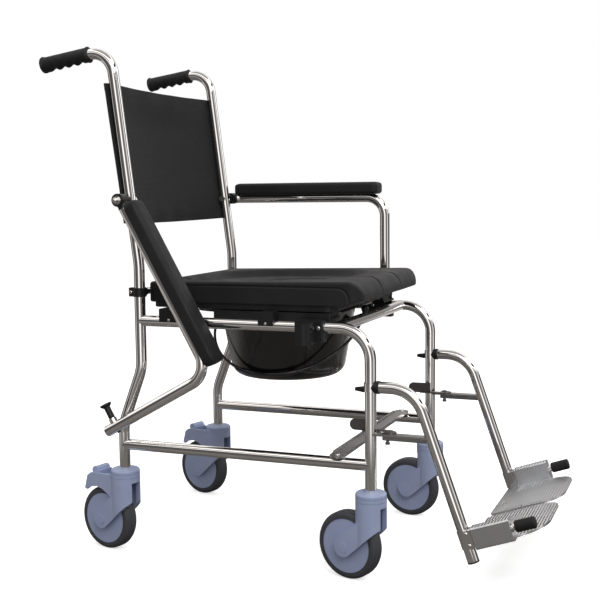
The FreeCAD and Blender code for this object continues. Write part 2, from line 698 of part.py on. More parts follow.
def make_pan():
    half = PAN_FLANGE_HALF
    flange = block(-half, half, APERTURE_D - half, APERTURE_D + half,
                   PAN_TOP_Z - PAN_FLANGE_THICK, PAN_TOP_Z)
    upright = [edge for edge in flange.Edges if abs(edge.tangentAt(edge.FirstParameter).z) > 0.9]
    flange = flange.makeFillet(60.0, upright)
    solids = [bowl(0), flange]
    for direction in (-1, 1):
        reach = pan_radius(BAIL_Z) - 4
        start = at(0, APERTURE_D + direction * reach, BAIL_Z)
        solids.append(cylinder(start, Y_AXIS * direction, 7.0, BAIL_R - BAIL_ROD_R - 0.5 - reach))
    pan = fuse(solids)
    pan = pan.cut(bowl(PAN_WALL))
    foot_ring = cylinder(at(0, APERTURE_D, PAN_BOTTOM_Z - 2), Z_AXIS, 80.0, 3.0)
    foot_ring = foot_ring.cut(cylinder(at(0, APERTURE_D, PAN_BOTTOM_Z - 2), Z_AXIS, 74.0, 2.0))
    pan = pan.fuse(foot_ring).removeSplitter()
    for direction in (-1, 1):
        start = at(0, APERTURE_D + direction * (BAIL_R - 9), BAIL_Z)
        pan = pan.cut(cylinder(start, Y_AXIS * direction, 2.0 + RUNNING, 12))
    export("pan", pan)

    centre = at(0, APERTURE_D, BAIL_Z)
    half_ring = Part.makeTorus(BAIL_R, BAIL_ROD_R, centre, Z_AXIS)
    room = 2 * BAIL_R
    keep = Part.makeBox(room, 2 * room, 40, centre + Vector(-room, -room, -20))
    bail = half_ring.common(keep)
    grip = Part.makeTorus(BAIL_R, BAIL_ROD_R + 2.5, centre, Z_AXIS)
    wedge = block(-room, -BAIL_R * 0.94, APERTURE_D - room, APERTURE_D + room,
                  BAIL_Z - 20, BAIL_Z + 20)
    solids = [bail, grip.common(wedge)]
    for direction in (-1, 1):
        start = at(0, APERTURE_D + direction * (BAIL_R - 8), BAIL_Z)
        solids.append(cylinder(start, Y_AXIS * direction, 2.0, 8))
        solids.append(Part.makeSphere(BAIL_ROD_R, at(0, APERTURE_D + direction * BAIL_R, BAIL_Z)))
    bail = fuse(solids)
    export("pan_handle", turned(bail, centre, Y_AXIS, -BAIL_HANG_DEG))


# ---------------------------------------------------------------- leg rests
SLANT = math.radians(HANGER_SLANT_DEG)
FORWARD_UP = Vector(0, -math.cos(SLANT), math.sin(SLANT))
ALONG_TUBE = Vector(0, math.sin(SLANT), math.cos(SLANT))


def hanger_d(z):
    """Distance of the slanted tube's axis behind the front legs at a height."""
    return HANGER_CORNER_D - (HANGER_TOP_Z - z) * math.tan(SLANT)


def hanger_points():
    return [
        at(HALF_WIDTH, -TUBE_R - 7, HANGER_TOP_Z),
        at(HALF_WIDTH, HANGER_CORNER_D, HANGER_TOP_Z),
        at(HALF_WIDTH, hanger_d(HANGER_END_Z), HANGER_END_Z),
    ]


RING_R = 13.0
RING_HEIGHT = 16.0
LATCH_D = -33.0
LATCH_THICK = 3.0
LATCH_PIN_R = 3.0


def make_hanger():
    """Swing-away leg rest tube, its ring round the leg, its collar and its lower bracket."""
    outside = tube_solid(hanger_points(), [HANGER_BEND_R])
    hanger = tube(hanger_points(), [HANGER_BEND_R])
    leg_axis = at(HALF_WIDTH, 0, HANGER_TOP_Z - RING_HEIGHT / 2)
    ring_outside = cylinder(leg_axis, Z_AXIS, RING_R, RING_HEIGHT)
    ring = ring_outside.cut(cylinder(leg_axis, Z_AXIS, TUBE_R + RUNNING, RING_HEIGHT))
    end_plug = cylinder(at(HALF_WIDTH, hanger_d(HANGER_END_Z), HANGER_END_Z),
                        ALONG_TUBE * -1, TUBE_R, 3.0)
    export_pair("hanger_tube", [hanger, ring])

    saddle = cylinder(at(HALF_WIDTH, 0, HANGER_TOP_Z), Y_AXIS * -1, TUBE_R + 1.2, TUBE_R + 7)
    nose = Part.makeCone(8.0, 3.5, 30.0, at(HALF_WIDTH, 0, HANGER_TOP_Z - 5), Y_AXIS)
    leg_room = cylinder(leg_axis - Z_AXIS * 20, Z_AXIS, RING_R, RING_HEIGHT + 40)
    export_pair("hanger_collar", [saddle.cut(leg_room), nose.cut(leg_room), end_plug])

    tube_d = hanger_d(BRACKET_Z)
    leg_room = cylinder(at(HALF_WIDTH, 0, 0), Z_AXIS, TUBE_R + 0.4, HANGER_TOP_Z)
    bar = block(HALF_WIDTH - 10, HALF_WIDTH + 10, tube_d, -4, BRACKET_Z - 2, BRACKET_Z + 2)
    stiffener = cylinder(at(HALF_WIDTH, tube_d - 4, BRACKET_Z - 6), Y_AXIS, 5.0, -tube_d - 20)
    bracket = fuse([bar, stiffener]).cut(leg_room).cut(outside)
    pivot = at(HALF_WIDTH, LATCH_D, BRACKET_Z - 2)
    bracket = bracket.cut(cylinder(pivot - Z_AXIS * 20, Z_AXIS, LATCH_PIN_R + RUNNING, 30))
    export_pair("hanger_bracket", [bracket])


LATCH_FRONT_R = 11.0
TAIL_HEIGHT = 22.0
TAIL_REAR_D = 46.0


def make_latch_lever():
    """Lever on the bracket that hooks behind the leg; its tail stands up as a finger grip."""
    z0 = BRACKET_Z + 2 + 0.2
    z1 = z0 + LATCH_THICK
    inner_x = HALF_WIDTH - TUBE_R - 1.0
    front = cylinder(at(HALF_WIDTH - 4, LATCH_D - 5, z0), Z_AXIS, LATCH_FRONT_R, LATCH_THICK)
    pad = block(HALF_WIDTH - 15, HALF_WIDTH + 7, LATCH_D - 5, LATCH_D + 8, z0, z1)
    arm = block(inner_x - 9, inner_x, LATCH_D - 4, TUBE_R + 7, z0, z1)
    middle = z0 + TAIL_HEIGHT / 2
    tail = block(inner_x - LATCH_THICK, inner_x, -4, TAIL_REAR_D - TAIL_HEIGHT / 2,
                 z0, z0 + TAIL_HEIGHT)
    tail_end = cylinder(at(inner_x - LATCH_THICK, TAIL_REAR_D - TAIL_HEIGHT / 2, middle), X_AXIS,
                        TAIL_HEIGHT / 2, LATCH_THICK)
    hook = block(inner_x - 2, HALF_WIDTH - 2, TUBE_R + 1.4, TUBE_R + 7, z0, z1)
    pin = cylinder(at(HALF_WIDTH, LATCH_D, BRACKET_Z - 18), Z_AXIS, LATCH_PIN_R, 22 + LATCH_THICK)
    pin_foot = cylinder(at(HALF_WIDTH, LATCH_D, BRACKET_Z - 18), Z_AXIS, 4.5, 4.0)
    pin_head = cylinder(at(HALF_WIDTH, LATCH_D, z1), Z_AXIS, 5.0, 2.0)
    lever = fuse([front, pad, arm, tail, tail_end, hook, pin, pin_foot, pin_head])
    leg_room = cylinder(at(HALF_WIDTH, 0, z0), Z_AXIS, TUBE_R + 0.8, LATCH_THICK)
    export_pair("latch_lever", [lever.cut(leg_room)])


def carrier_point(forward, along, x=0.0):
    """A point in the leg rest's own directions, measured from the clamp on the tube."""
    origin = at(HALF_WIDTH + x, hanger_d(CARRIER_Z), CARRIER_Z)
    return origin + FORWARD_UP * forward + ALONG_TUBE * along


def carrier_block(x0, x1, f0, f1, n0, n1):
    """A box in the leg rest's own directions; x is measured from the tube's axis."""
    box = Part.makeBox(x1 - x0, f1 - f0, n1 - n0)
    axes = Matrix(1, 0, 0, 0,
                  0, FORWARD_UP.y, ALONG_TUBE.y, 0,
                  0, FORWARD_UP.z, ALONG_TUBE.z, 0,
                  0, 0, 0, 1)
    box = box.transformGeometry(axes)
    box.translate(carrier_point(f0, n0, x0))
    return box


def make_foot_carrier():
    """Clamp on the slanted tube with the rod that carries the foot plate."""
    low, high = -28.0, 6.0
    saddle = carrier_block(-13, 13, 0, BARREL_START - 1, low, high)
    strap = cylinder(carrier_point(0, low), ALONG_TUBE, TUBE_R + 1.4, high - low)
    rod = cylinder(carrier_point(TUBE_R, ROD_N), FORWARD_UP, FOOT_ROD_R, 99.0)
    washer = cylinder(carrier_point(BARREL_END + 0.6, ROD_N), FORWARD_UP, 9.0, 2.0)
    spring_cup = cylinder(carrier_point(BARREL_END + 2, ROD_N), FORWARD_UP, 7.0, 4.0)
    heads = [dome_screw(carrier_point(6, n, 13), X_AXIS, head_r=4.0, shank=3.0)
             for n in (-22.0, 0.0)]
    clamp = fuse([saddle, strap, rod, washer, spring_cup] + heads)
    clamp = clamp.cut(cylinder(carrier_point(0, low - 5), ALONG_TUBE, TUBE_R + RUNNING,
                               high - low + 10))
    export_pair("footrest_clamp", [clamp])

    knob = cylinder(carrier_point(BARREL_END + 6.2, ROD_N), FORWARD_UP, FOOT_KNOB_R, 38.0)
    rim = [edge for edge in knob.Edges if edge.Closed]
    knob = knob.makeFillet(2.5, rim)
    knob = knob.cut(rod)
    export_pair("footrest_knob", [knob])


RIB_COUNT = 9
RIB_PITCH = 8.0
RIB_HEIGHT = 1.2
TREAD_REAR = -9.0
TREAD_FRONT = 144.0
TREAD_CORNERS = {"inner rear": 12.0, "inner front": 42.0, "outer front": 62.0}


def make_foot_plate():
    """Folding foot plate: a square barrel on the rod and a ribbed tread reaching inwards."""
    barrel = carrier_block(-BARREL_HALF_WIDTH, BARREL_HALF_WIDTH, BARREL_START, BARREL_END,
                           BARREL_BOTTOM, BARREL_TOP)
    lengthwise = [edge for edge in barrel.Edges
                  if abs(edge.tangentAt(edge.FirstParameter).dot(FORWARD_UP)) > 0.9]
    barrel = barrel.makeFillet(5.0, lengthwise)
    inner = -PLATE_REACH
    outer = -BARREL_HALF_WIDTH + 2
    tread_top = BARREL_BOTTOM + PLATE_THICK
    tread = carrier_block(inner, outer, TREAD_REAR, TREAD_FRONT, BARREL_BOTTOM, tread_top)
    corners = {
        "inner rear": carrier_point(TREAD_REAR, BARREL_BOTTOM, inner),
        "inner front": carrier_point(TREAD_FRONT, BARREL_BOTTOM, inner),
        "outer front": carrier_point(TREAD_FRONT, BARREL_BOTTOM, outer),
    }
    for name, corner in corners.items():
        upright = [edge for edge in tread.Edges
                   if any(vertex.Point.distanceToPoint(corner) < 0.1 for vertex in edge.Vertexes)
                   and abs(edge.tangentAt(edge.FirstParameter).dot(ALONG_TUBE)) > 0.9]
        tread = tread.makeFillet(TREAD_CORNERS[name], upright)
    ribs = []
    for index in range(RIB_COUNT):
        start = BARREL_START + 4 + index * RIB_PITCH
        ribs.append(carrier_block(outer - 48, outer, start, start + 3,
                                  tread_top - 1, tread_top + RIB_HEIGHT))
    ribs.append(carrier_block(inner + 10, inner + 14, TREAD_REAR + 30, TREAD_FRONT - 44,
                              tread_top - 1, tread_top + RIB_HEIGHT))
    plate = fuse([barrel, tread] + ribs)
    bore = cylinder(carrier_point(0, ROD_N), FORWARD_UP, FOOT_ROD_R + RUNNING, 120)
    export_pair("footplate", [plate.cut(bore)])


# ---------------------------------------------------------------- casters
def cheek_outlines(boss_centre):
    """Side views of the skirt under the cap and of the sloping arm that ends round the axle."""
    slope = math.radians(CHEEK_SLOPE_DEG)
    forward = Vector(0, -math.cos(slope), math.sin(slope))
    across = Vector(0, math.sin(slope), math.cos(slope)) * BOSS_R
    low = boss_centre - across
    high = boss_centre + across
    front = low + forward * ((low.y + FORK_R) / math.cos(slope))
    rear = low - forward * ((FORK_R - low.y) / math.cos(slope))
    top = FORK_BOTTOM_Z + 1
    skirt = [front, Vector(0, -FORK_R, top), Vector(0, FORK_R, top), rear, front]
    reach = forward * (high.y / math.cos(slope))
    arm = [low, low + reach, high + reach, high, low]
    return [Part.Face(Part.makePolygon(profile)) for profile in (skirt, arm)]


def make_cheek(outlines, inner):
    """One fork cheek, round with the cap above and flat along the sloping arm."""
    round_part = Part.makeCylinder(FORK_R, CASTER_TOP_Z, Vector(0, 0, 0), Z_AXIS)
    skirt, arm = [outline.extrude(X_AXIS * FORK_R) for outline in outlines]
    for shape in (skirt, arm):
        shape.translate(X_AXIS * (0 if inner > 0 else -FORK_R))
    flat_x = inner if inner > 0 else -CHEEK_OUTER
    flat_part = Part.makeBox(CHEEK_OUTER - CHEEK_INNER, TRAIL + BOSS_R, CASTER_TOP_Z,
                             Vector(flat_x, 0, 0))
    cheek = skirt.common(round_part).fuse(arm.common(flat_part))
    well = Part.makeBox(2 * CHEEK_INNER, FORK_R + TRAIL + BOSS_R, FORK_BOTTOM_Z,
                        Vector(-CHEEK_INNER, FRONT_WALL - FORK_R, 0))
    slot = Part.makeBox(2 * FRONT_SLOT_HALF, FORK_R, FORK_BOTTOM_Z,
                        Vector(-FRONT_SLOT_HALF, -FORK_R, 0))
    return cheek.cut(well).cut(slot)


def make_fork(braked):
    """Round-topped fork about the swivel axis, wheel trailing to +Y, with its axle."""
    housing = Part.makeCylinder(FORK_R, CASTER_TOP_Z - FORK_BOTTOM_Z,
                                Vector(0, 0, FORK_BOTTOM_Z), Z_AXIS)
    rims = [edge for edge in housing.Edges if edge.Closed and edge.BoundBox.ZMin > CASTER_TOP_Z - 1]
    housing = housing.makeFillet(5.0, rims)
    boss_centre = Vector(0, TRAIL, WHEEL_R)
    outlines = cheek_outlines(boss_centre)
    solids = [housing]
    for side in (-1, 1):
        boss_x = CHEEK_INNER if side > 0 else -CHEEK_OUTER
        boss = Part.makeCylinder(BOSS_R, CHEEK_OUTER - CHEEK_INNER, boss_centre + X_AXIS * boss_x,
                                 X_AXIS)
        cap_x = CHEEK_INNER if side > 0 else -CHEEK_OUTER - 1.0
        cap = Part.makeCylinder(10.0, CHEEK_OUTER - CHEEK_INNER + 1.0, boss_centre + X_AXIS * cap_x,
                                X_AXIS)
        solids += [make_cheek(outlines, side * CHEEK_INNER), boss, cap]
    if braked:
        solids += make_brake_arms()
    fork = fuse(solids)
    for drop in FORK_SEAM_DROPS:
        foot = Vector(0, 0, CASTER_TOP_Z - drop)
        seam = Part.makeCylinder(FORK_R + 1, FORK_SEAM_HEIGHT, foot, Z_AXIS)
        seam = seam.cut(Part.makeCylinder(FORK_R - FORK_SEAM_DEPTH, FORK_SEAM_HEIGHT, foot, Z_AXIS))
        fork = fork.cut(seam)
    stem_room = Part.makeCylinder(STEM_R + RUNNING, 60, Vector(0, 0, FORK_BOTTOM_Z + 5), Z_AXIS)
    fork = fork.cut(stem_room)
    axle_length = 2 * (CHEEK_INNER + 5)
    axle = Part.makeCylinder(AXLE_R, axle_length, boss_centre - X_AXIS * (axle_length / 2), X_AXIS)
    return [fork.cut(axle), axle]


BRAKE_ARM_THICK = 5.0


def make_brake_arms():
    """Side plates that reach back over the wheel, their cross bridge and the pedal's pin."""
    profile = [
        Vector(0, 15, CASTER_TOP_Z - 12),
        Vector(0, 78, CASTER_TOP_Z - 15),
        Vector(0, 88, CASTER_TOP_Z - 22),
        Vector(0, 96, CASTER_TOP_Z - 50),
        Vector(0, 90, CASTER_TOP_Z - 53),
        Vector(0, 80, CASTER_TOP_Z - 46),
        Vector(0, 62, CASTER_TOP_Z - 42),
        Vector(0, 45, CASTER_TOP_Z - 46),
        Vector(0, 24, CASTER_TOP_Z - 58),
        Vector(0, 15, CASTER_TOP_Z - 58),
        Vector(0, 15, CASTER_TOP_Z - 12),
    ]
    face = Part.Face(Part.makePolygon(profile))
    inner = PEDAL_WIDTH / 2 + 0.5
    solids = []
    for x in (-inner - BRAKE_ARM_THICK, inner):
        plate = face.extrude(X_AXIS * BRAKE_ARM_THICK)
        plate.translate(Vector(x, 0, 0))
        solids.append(plate)
    bridge = Part.makeBox(2 * inner, 12, 9, Vector(-inner, 24, CASTER_TOP_Z - 28))
    pin = Part.makeCylinder(PEDAL_PIN_R, 2 * inner + 4,
                            Vector(-inner - 2, PEDAL_PIVOT_Y, PEDAL_PIVOT_Z), X_AXIS)
    return solids + [bridge, pin]


def make_pedal():
    """Brake pedal between the side plates: rounded horn on top, toe lip behind."""
    pivot = Vector(-PEDAL_WIDTH / 2, PEDAL_PIVOT_Y, PEDAL_PIVOT_Z)
    eye = Part.makeCylinder(6.5, PEDAL_WIDTH, pivot, X_AXIS)
    horn = Part.makeCylinder(8.0, PEDAL_WIDTH, pivot + Vector(0, 10, 16), X_AXIS)
    neck = Part.makeBox(PEDAL_WIDTH, 13, 16, pivot - Y_AXIS * 3)
    toe = Part.makeBox(PEDAL_WIDTH, TOE_LENGTH, 5, pivot - Z_AXIS * 2.5)
    toe.rotate(pivot, X_AXIS, -TOE_DROOP_DEG)
    pedal = fuse([eye, horn, neck, toe])
    bore = Part.makeCylinder(PEDAL_PIN_R + RUNNING, PEDAL_WIDTH, pivot, X_AXIS)
    return pedal.cut(bore)


def make_wheel():
    """Solid tyre with a crowned tread, and a full-disc hub."""
    centre = Vector(0, TRAIL, WHEEL_R)
    tyre = Part.makeCylinder(WHEEL_R, WHEEL_WIDTH, centre - X_AXIS * (WHEEL_WIDTH / 2), X_AXIS)
    rims = [edge for edge in tyre.Edges if edge.Closed]
    tyre = tyre.makeFillet(TYRE_ROUNDING, rims)
    tyre = tyre.cut(Part.makeCylinder(HUB_R, WHEEL_WIDTH, centre - X_AXIS * (WHEEL_WIDTH / 2), X_AXIS))
    hub_half = WHEEL_WIDTH / 2 - 1.0
    hub = Part.makeCylinder(HUB_R, 2 * hub_half, centre - X_AXIS * hub_half, X_AXIS)
    boss = Part.makeCylinder(11.0, 2 * hub_half + 6, centre - X_AXIS * (hub_half + 3), X_AXIS)
    hub = hub.fuse(boss).removeSplitter()
    hub = hub.cut(Part.makeCylinder(AXLE_R + RUNNING, 60, centre - X_AXIS * 30, X_AXIS))
    return tyre, hub


def make_casters():
    """Four casters, each stored at its own swivel angle."""
    tyre, hub = make_wheel()
    plain = make_fork(False)
    braked = make_fork(True)
    pedal = make_pedal()
    for side, sign in SIDES.items():
        for place, d in (("front", 0.0), ("rear", WHEELBASE)):
            name = place + "_" + side
            placing = Placement(at(sign * HALF_WIDTH, d, 0), Rotation(Z_AXIS, CASTER_SWIVEL_DEG[name]))
            fork = braked if place == "rear" else plain
            pieces = {"fork": fork, "tyre": [tyre], "hub": [hub]}
            if place == "rear":
                pieces["brake_pedal"] = [pedal]
            for piece, solids in pieces.items():
                placed = [solid.copy() for solid in solids]
                for solid in placed:
                    solid.Placement = placing.multiply(solid.Placement)
                export(name + "_" + piece, *placed)


def make_stems():
    """Caster stems and the plastic plugs that hold them in the ends of the four legs."""
    stems = []
    plugs = []
    for x in (-HALF_WIDTH, HALF_WIDTH):
        for d in (0.0, WHEELBASE):
            low = FORK_BOTTOM_Z + 6
            stems.append(cylinder(at(x, d, low), Z_AXIS, STEM_R, 90))
            plug = cylinder(at(x, d, CASTER_TOP_Z), Z_AXIS, TUBE_R - TUBE_WALL, 46)
            plugs.append(plug.cut(cylinder(at(x, d, CASTER_TOP_Z), Z_AXIS, STEM_R, 46)))
    export("caster_stems", *stems)
    export("leg_plugs", *plugs)


# ---------------------------------------------------------------- build
def main():
    sling_screws = make_backrest()
    make_frame_tubes([screw for screw in sling_screws if screw.CenterOfMass.x > 0])
    make_lower_cross_bar()
    screws = [make_seat_hinge_rod()]
    make_push_grips()
    make_arms()
    make_arm_pivot_bolts()
    screws += make_arm_sockets()
    make_seat()
    make_hinge_straps()
    screws += make_seat_rests()
    screws += make_pan_guides()
    make_pan()
    make_hanger()
    make_latch_lever()
    make_foot_carrier()
    make_foot_plate()
    make_casters()
    make_stems()
    bar_top = LOWER_RAIL_Z + TUBE_R + CROSS_BAR_THICK
    screws.append(dome_screw(at(HALF_WIDTH, CROSS_BAR_D, bar_top), Z_AXIS, head_r=5.0,
                             shank=CROSS_BAR_THICK))
    export("frame_screws", *(screws + [mirrored(screw) for screw in screws] + sling_screws))


main()
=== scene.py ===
import json
import math

import bmesh
import bpy
from mathutils import Matrix, Vector
from mathutils.geometry import delaunay_2d_cdt


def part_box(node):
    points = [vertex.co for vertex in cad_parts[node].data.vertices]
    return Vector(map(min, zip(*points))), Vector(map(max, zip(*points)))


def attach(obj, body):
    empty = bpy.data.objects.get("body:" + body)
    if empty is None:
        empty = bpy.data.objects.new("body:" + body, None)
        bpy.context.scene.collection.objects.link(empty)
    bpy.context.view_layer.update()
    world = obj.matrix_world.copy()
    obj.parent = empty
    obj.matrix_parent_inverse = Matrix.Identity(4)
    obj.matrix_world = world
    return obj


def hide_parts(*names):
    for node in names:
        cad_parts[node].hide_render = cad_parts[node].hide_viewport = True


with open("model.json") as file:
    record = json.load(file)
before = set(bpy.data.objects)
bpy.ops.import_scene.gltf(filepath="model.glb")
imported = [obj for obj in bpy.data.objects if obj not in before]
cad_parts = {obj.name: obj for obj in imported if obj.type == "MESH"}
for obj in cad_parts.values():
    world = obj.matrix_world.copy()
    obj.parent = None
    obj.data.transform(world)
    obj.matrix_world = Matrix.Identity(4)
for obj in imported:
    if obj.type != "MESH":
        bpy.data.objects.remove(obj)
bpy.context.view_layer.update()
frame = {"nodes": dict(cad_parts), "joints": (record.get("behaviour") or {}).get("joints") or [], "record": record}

NODES = frame["nodes"]
JOINTS = {joint["name"]: joint for joint in frame["joints"]}
MM = 0.001


# ---------------------------------------------------------------- node helpers
def grey(value):
    return (value, value, value)


class Nodes:
    """A node tree with short ways to add nodes and join them."""

    # A Mix node has several sockets of the same name; these are its colours.
    MIX_COLOURS = (6, 7)
    MIX_RESULT = 2

    def __init__(self, tree):
        self.tree = tree

    def add(self, kind, **settings):
        node = self.tree.nodes.new(kind)
        for key, value in settings.items():
            setattr(node, key, value)
        return node

    def put(self, value, socket):
        """Joins an output to the socket, or sets the socket to a plain value."""
        if hasattr(value, "links"):
            self.tree.links.new(value, socket)
        elif socket.type == "RGBA":
            socket.default_value = (*value, 1.0)
        else:
            socket.default_value = value

    def fill(self, node, values):
        for name, value in values.items():
            self.put(value, node.inputs[name])

    def ramp(self, factor, low, high, stops=(0.3, 0.7)):
        return self.bands(factor, [(stops[0], low), (stops[1], high)])

    def bands(self, factor, stops):
        """Colour by factor, from (position, colour) stops in rising order."""
        node = self.add("ShaderNodeValToRGB")
        elements = node.color_ramp.elements
        elements.remove(elements[-1])
        elements[0].position = stops[0][0]
        elements[0].color = (*stops[0][1], 1.0)
        for position, colour in stops[1:]:
            elements.new(position).color = (*colour, 1.0)
        self.put(factor, node.inputs["Fac"])
        return node.outputs["Color"]

    def span(self, factor, low, high, start=0.3, end=0.7):
        """Goes from low to high while the factor goes from start to end."""
        node = self.add("ShaderNodeMapRange")
        self.fill(node, {"Value": factor, "From Min": start, "From Max": end,
                         "To Min": low, "To Max": high})
        return node.outputs["Result"]

    def math(self, operation, first, second):
        node = self.add("ShaderNodeMath", operation=operation)
        self.put(first, node.inputs[0])
        self.put(second, node.inputs[1])
        return node.outputs["Value"]

    def blend_colour(self, factor, first, second, mode="MIX"):
        node = self.add("ShaderNodeMix", data_type="RGBA", blend_type=mode)
        self.put(factor, node.inputs["Factor"])
        for index, value in zip(self.MIX_COLOURS, (first, second)):
            self.put(value, node.inputs[index])
        return node.outputs[self.MIX_RESULT]

    def blend_shader(self, factor, first, second):
        node = self.add("ShaderNodeMixShader")
        self.put(factor, node.inputs["Fac"])
        self.put(first, node.inputs[1])
        self.put(second, node.inputs[2])
        return node.outputs["Shader"]


class Shader(Nodes):
    """A material's node tree, with its surface node and the object's own coordinates."""

    def __init__(self, name):
        self.material = bpy.data.materials.new(name)
        self.material.use_nodes = True
        super().__init__(self.material.node_tree)
        self.surface = self.tree.nodes["Principled BSDF"]
        self.place = self.add("ShaderNodeTexCoord").outputs["Object"]

    def finish(self, values):
        self.fill(self.surface, values)
        return self.material

    def stretched(self, x=1.0, y=1.0, z=1.0):
        node = self.add("ShaderNodeMapping")
        self.fill(node, {"Vector": self.place, "Scale": (x, y, z)})
        return node.outputs["Vector"]

    def noise(self, scale, detail=3.0, roughness=0.5, where=None):
        node = self.add("ShaderNodeTexNoise")
        self.fill(node, {"Vector": where or self.place, "Scale": scale, "Detail": detail,
                         "Roughness": roughness})
        return node.outputs["Fac"]

    def cells(self, scale):
        node = self.add("ShaderNodeTexVoronoi", feature="DISTANCE_TO_EDGE")
        self.fill(node, {"Vector": self.place, "Scale": scale})
        return node.outputs["Distance"]

    def waves(self, direction, scale, distortion=0.0, detail=2.0):
        node = self.add("ShaderNodeTexWave", wave_type="BANDS", bands_direction=direction)
        self.fill(node, {"Vector": self.place, "Scale": scale, "Distortion": distortion,
                         "Detail": detail})
        return node.outputs["Fac"]

    def bump(self, height, strength, distance, under=None):
        node = self.add("ShaderNodeBump")
        self.fill(node, {"Height": height, "Strength": strength, "Distance": distance})
        if under is not None:
            self.put(under, node.inputs["Normal"])
        return node.outputs["Normal"]

    def edges(self, reach=1.2 * MM):
        """1 on outside edges and 0 on flat faces, from the bevelled normal."""
        bevel = self.add("ShaderNodeBevel", samples=4)
        self.put(reach, bevel.inputs["Radius"])
        dot = self.add("ShaderNodeVectorMath", operation="DOT_PRODUCT")
        self.put(bevel.outputs["Normal"], dot.inputs[0])
        self.put(self.add("ShaderNodeNewGeometry").outputs["Normal"], dot.inputs[1])
        return self.span(dot.outputs["Value"], 1.0, 0.0, start=0.86, end=0.995)


# ---------------------------------------------------------------- materials
WAVES_PER_SCALE = 10 / math.pi      # waves in a metre of a wave texture of scale 1


def chrome(name, tint, rough_low, rough_high):
    """Bright plating with a faint haze and fine polishing marks."""
    s = Shader(name)
    haze = s.noise(scale=9.0, detail=4.0)
    streak = s.noise(scale=120.0, detail=2.0)
    dull = tuple(c * 0.93 for c in tint)
    rough = s.math("ADD", s.span(haze, rough_low, rough_high), s.span(streak, 0.0, 0.03))
    marks = s.bump(s.noise(scale=1400.0, detail=2.0), strength=0.02, distance=0.2 * MM)
    return s.finish({"Base Color": s.ramp(haze, dull, tint), "Roughness": rough,
                     "Normal": marks, "Metallic": 1.0})


def tread_ribs(s, pitch):
    """Height of fine ribs that run across the chair, on faces that look up only."""
    ribs = s.waves("Y", scale=1 / pitch / WAVES_PER_SCALE)
    normal = s.add("ShaderNodeSeparateXYZ")
    s.put(s.add("ShaderNodeNewGeometry").outputs["True Normal"], normal.inputs["Vector"])
    on_top = s.span(normal.outputs["Z"], 0.0, 1.0, start=0.82, end=0.90)
    return s.math("MULTIPLY", ribs, on_top)


def satin_metal(name, low, high, rough, grain_scale, grain_strength, rib_pitch=None):
    """Plated or cast metal with specks, brighter edges and either a fine grain or ribs."""
    s = Shader(name)
    cloud = s.noise(scale=6.0, detail=4.0)
    fine = s.noise(scale=grain_scale, roughness=0.6)
    speck = s.ramp(fine, grey(0.93), grey(1.0), stops=(0.35, 0.6))
    colour = s.blend_colour(1.0, s.ramp(cloud, low, high), speck, "MULTIPLY")
    bright = tuple(min(1.0, c * 1.25) for c in high)
    if rib_pitch:
        relief = s.bump(tread_ribs(s, rib_pitch), strength=0.8, distance=1.2 * MM)
    else:
        relief = s.bump(fine, grain_strength, distance=0.3 * MM)
    return s.finish({"Base Color": s.blend_colour(s.edges(), colour, bright),
                     "Roughness": s.span(cloud, rough - 0.04, rough + 0.05),
                     "Normal": relief, "Metallic": 0.9})


def moulded(name, low, high, rough_low, rough_high, grain=900.0, strength=0.12, coat=0.0,
            wear=1.5, specular=0.5):
    """Moulded plastic: eroded grain, faint cloudiness, paler rubbed edges."""
    s = Shader(name)
    base = s.ramp(s.noise(scale=14.0, detail=5.0), low, high)
    fine = s.noise(scale=grain, roughness=0.6)
    rub = s.noise(scale=60.0, detail=4.0)
    worn = tuple(min(1.0, c * wear + 0.01) for c in high)
    edge = s.math("MULTIPLY", s.edges(), s.span(rub, 0.1, 0.7))
    rough = s.span(s.noise(scale=38.0, detail=5.0), rough_low, rough_high)
    return s.finish({"Base Color": s.blend_colour(edge, base, worn), "Roughness": rough,
                     "Normal": s.bump(fine, strength, distance=0.3 * MM),
                     "Coat Weight": coat, "Coat Roughness": 0.08,
                     "Specular IOR Level": specular})


def foam_skin(name):
    """Skin of moulded foam: fine leather-like pebbling, painted shade in its hollows, and a dull sheen."""
    s = Shader(name)
    pebble = s.cells(scale=620.0)
    cloud = s.noise(scale=7.0, detail=5.0)
    base = s.ramp(cloud, (0.010, 0.0098, 0.0106), (0.017, 0.0166, 0.018))
    # Painted shade: the colour darkens towards each pebble's edge, in the hollows of the bump.
    crevice_shade = s.span(pebble, 0.72, 1.0, start=0.0, end=0.25)
    coarse = s.bump(pebble, strength=0.16, distance=0.5 * MM)
    fine = s.noise(scale=1500.0, detail=2.0)
    return s.finish({"Base Color": s.blend_colour(crevice_shade, (0.008, 0.008, 0.009), base),
                     "Roughness": s.span(s.noise(scale=30.0, detail=4.0), 0.50, 0.64),
                     "Normal": s.bump(fine, strength=0.08, distance=0.2 * MM, under=coarse),
                     "Sheen Weight": 0.05, "Sheen Roughness": 0.45,
                     "Specular IOR Level": 0.24})


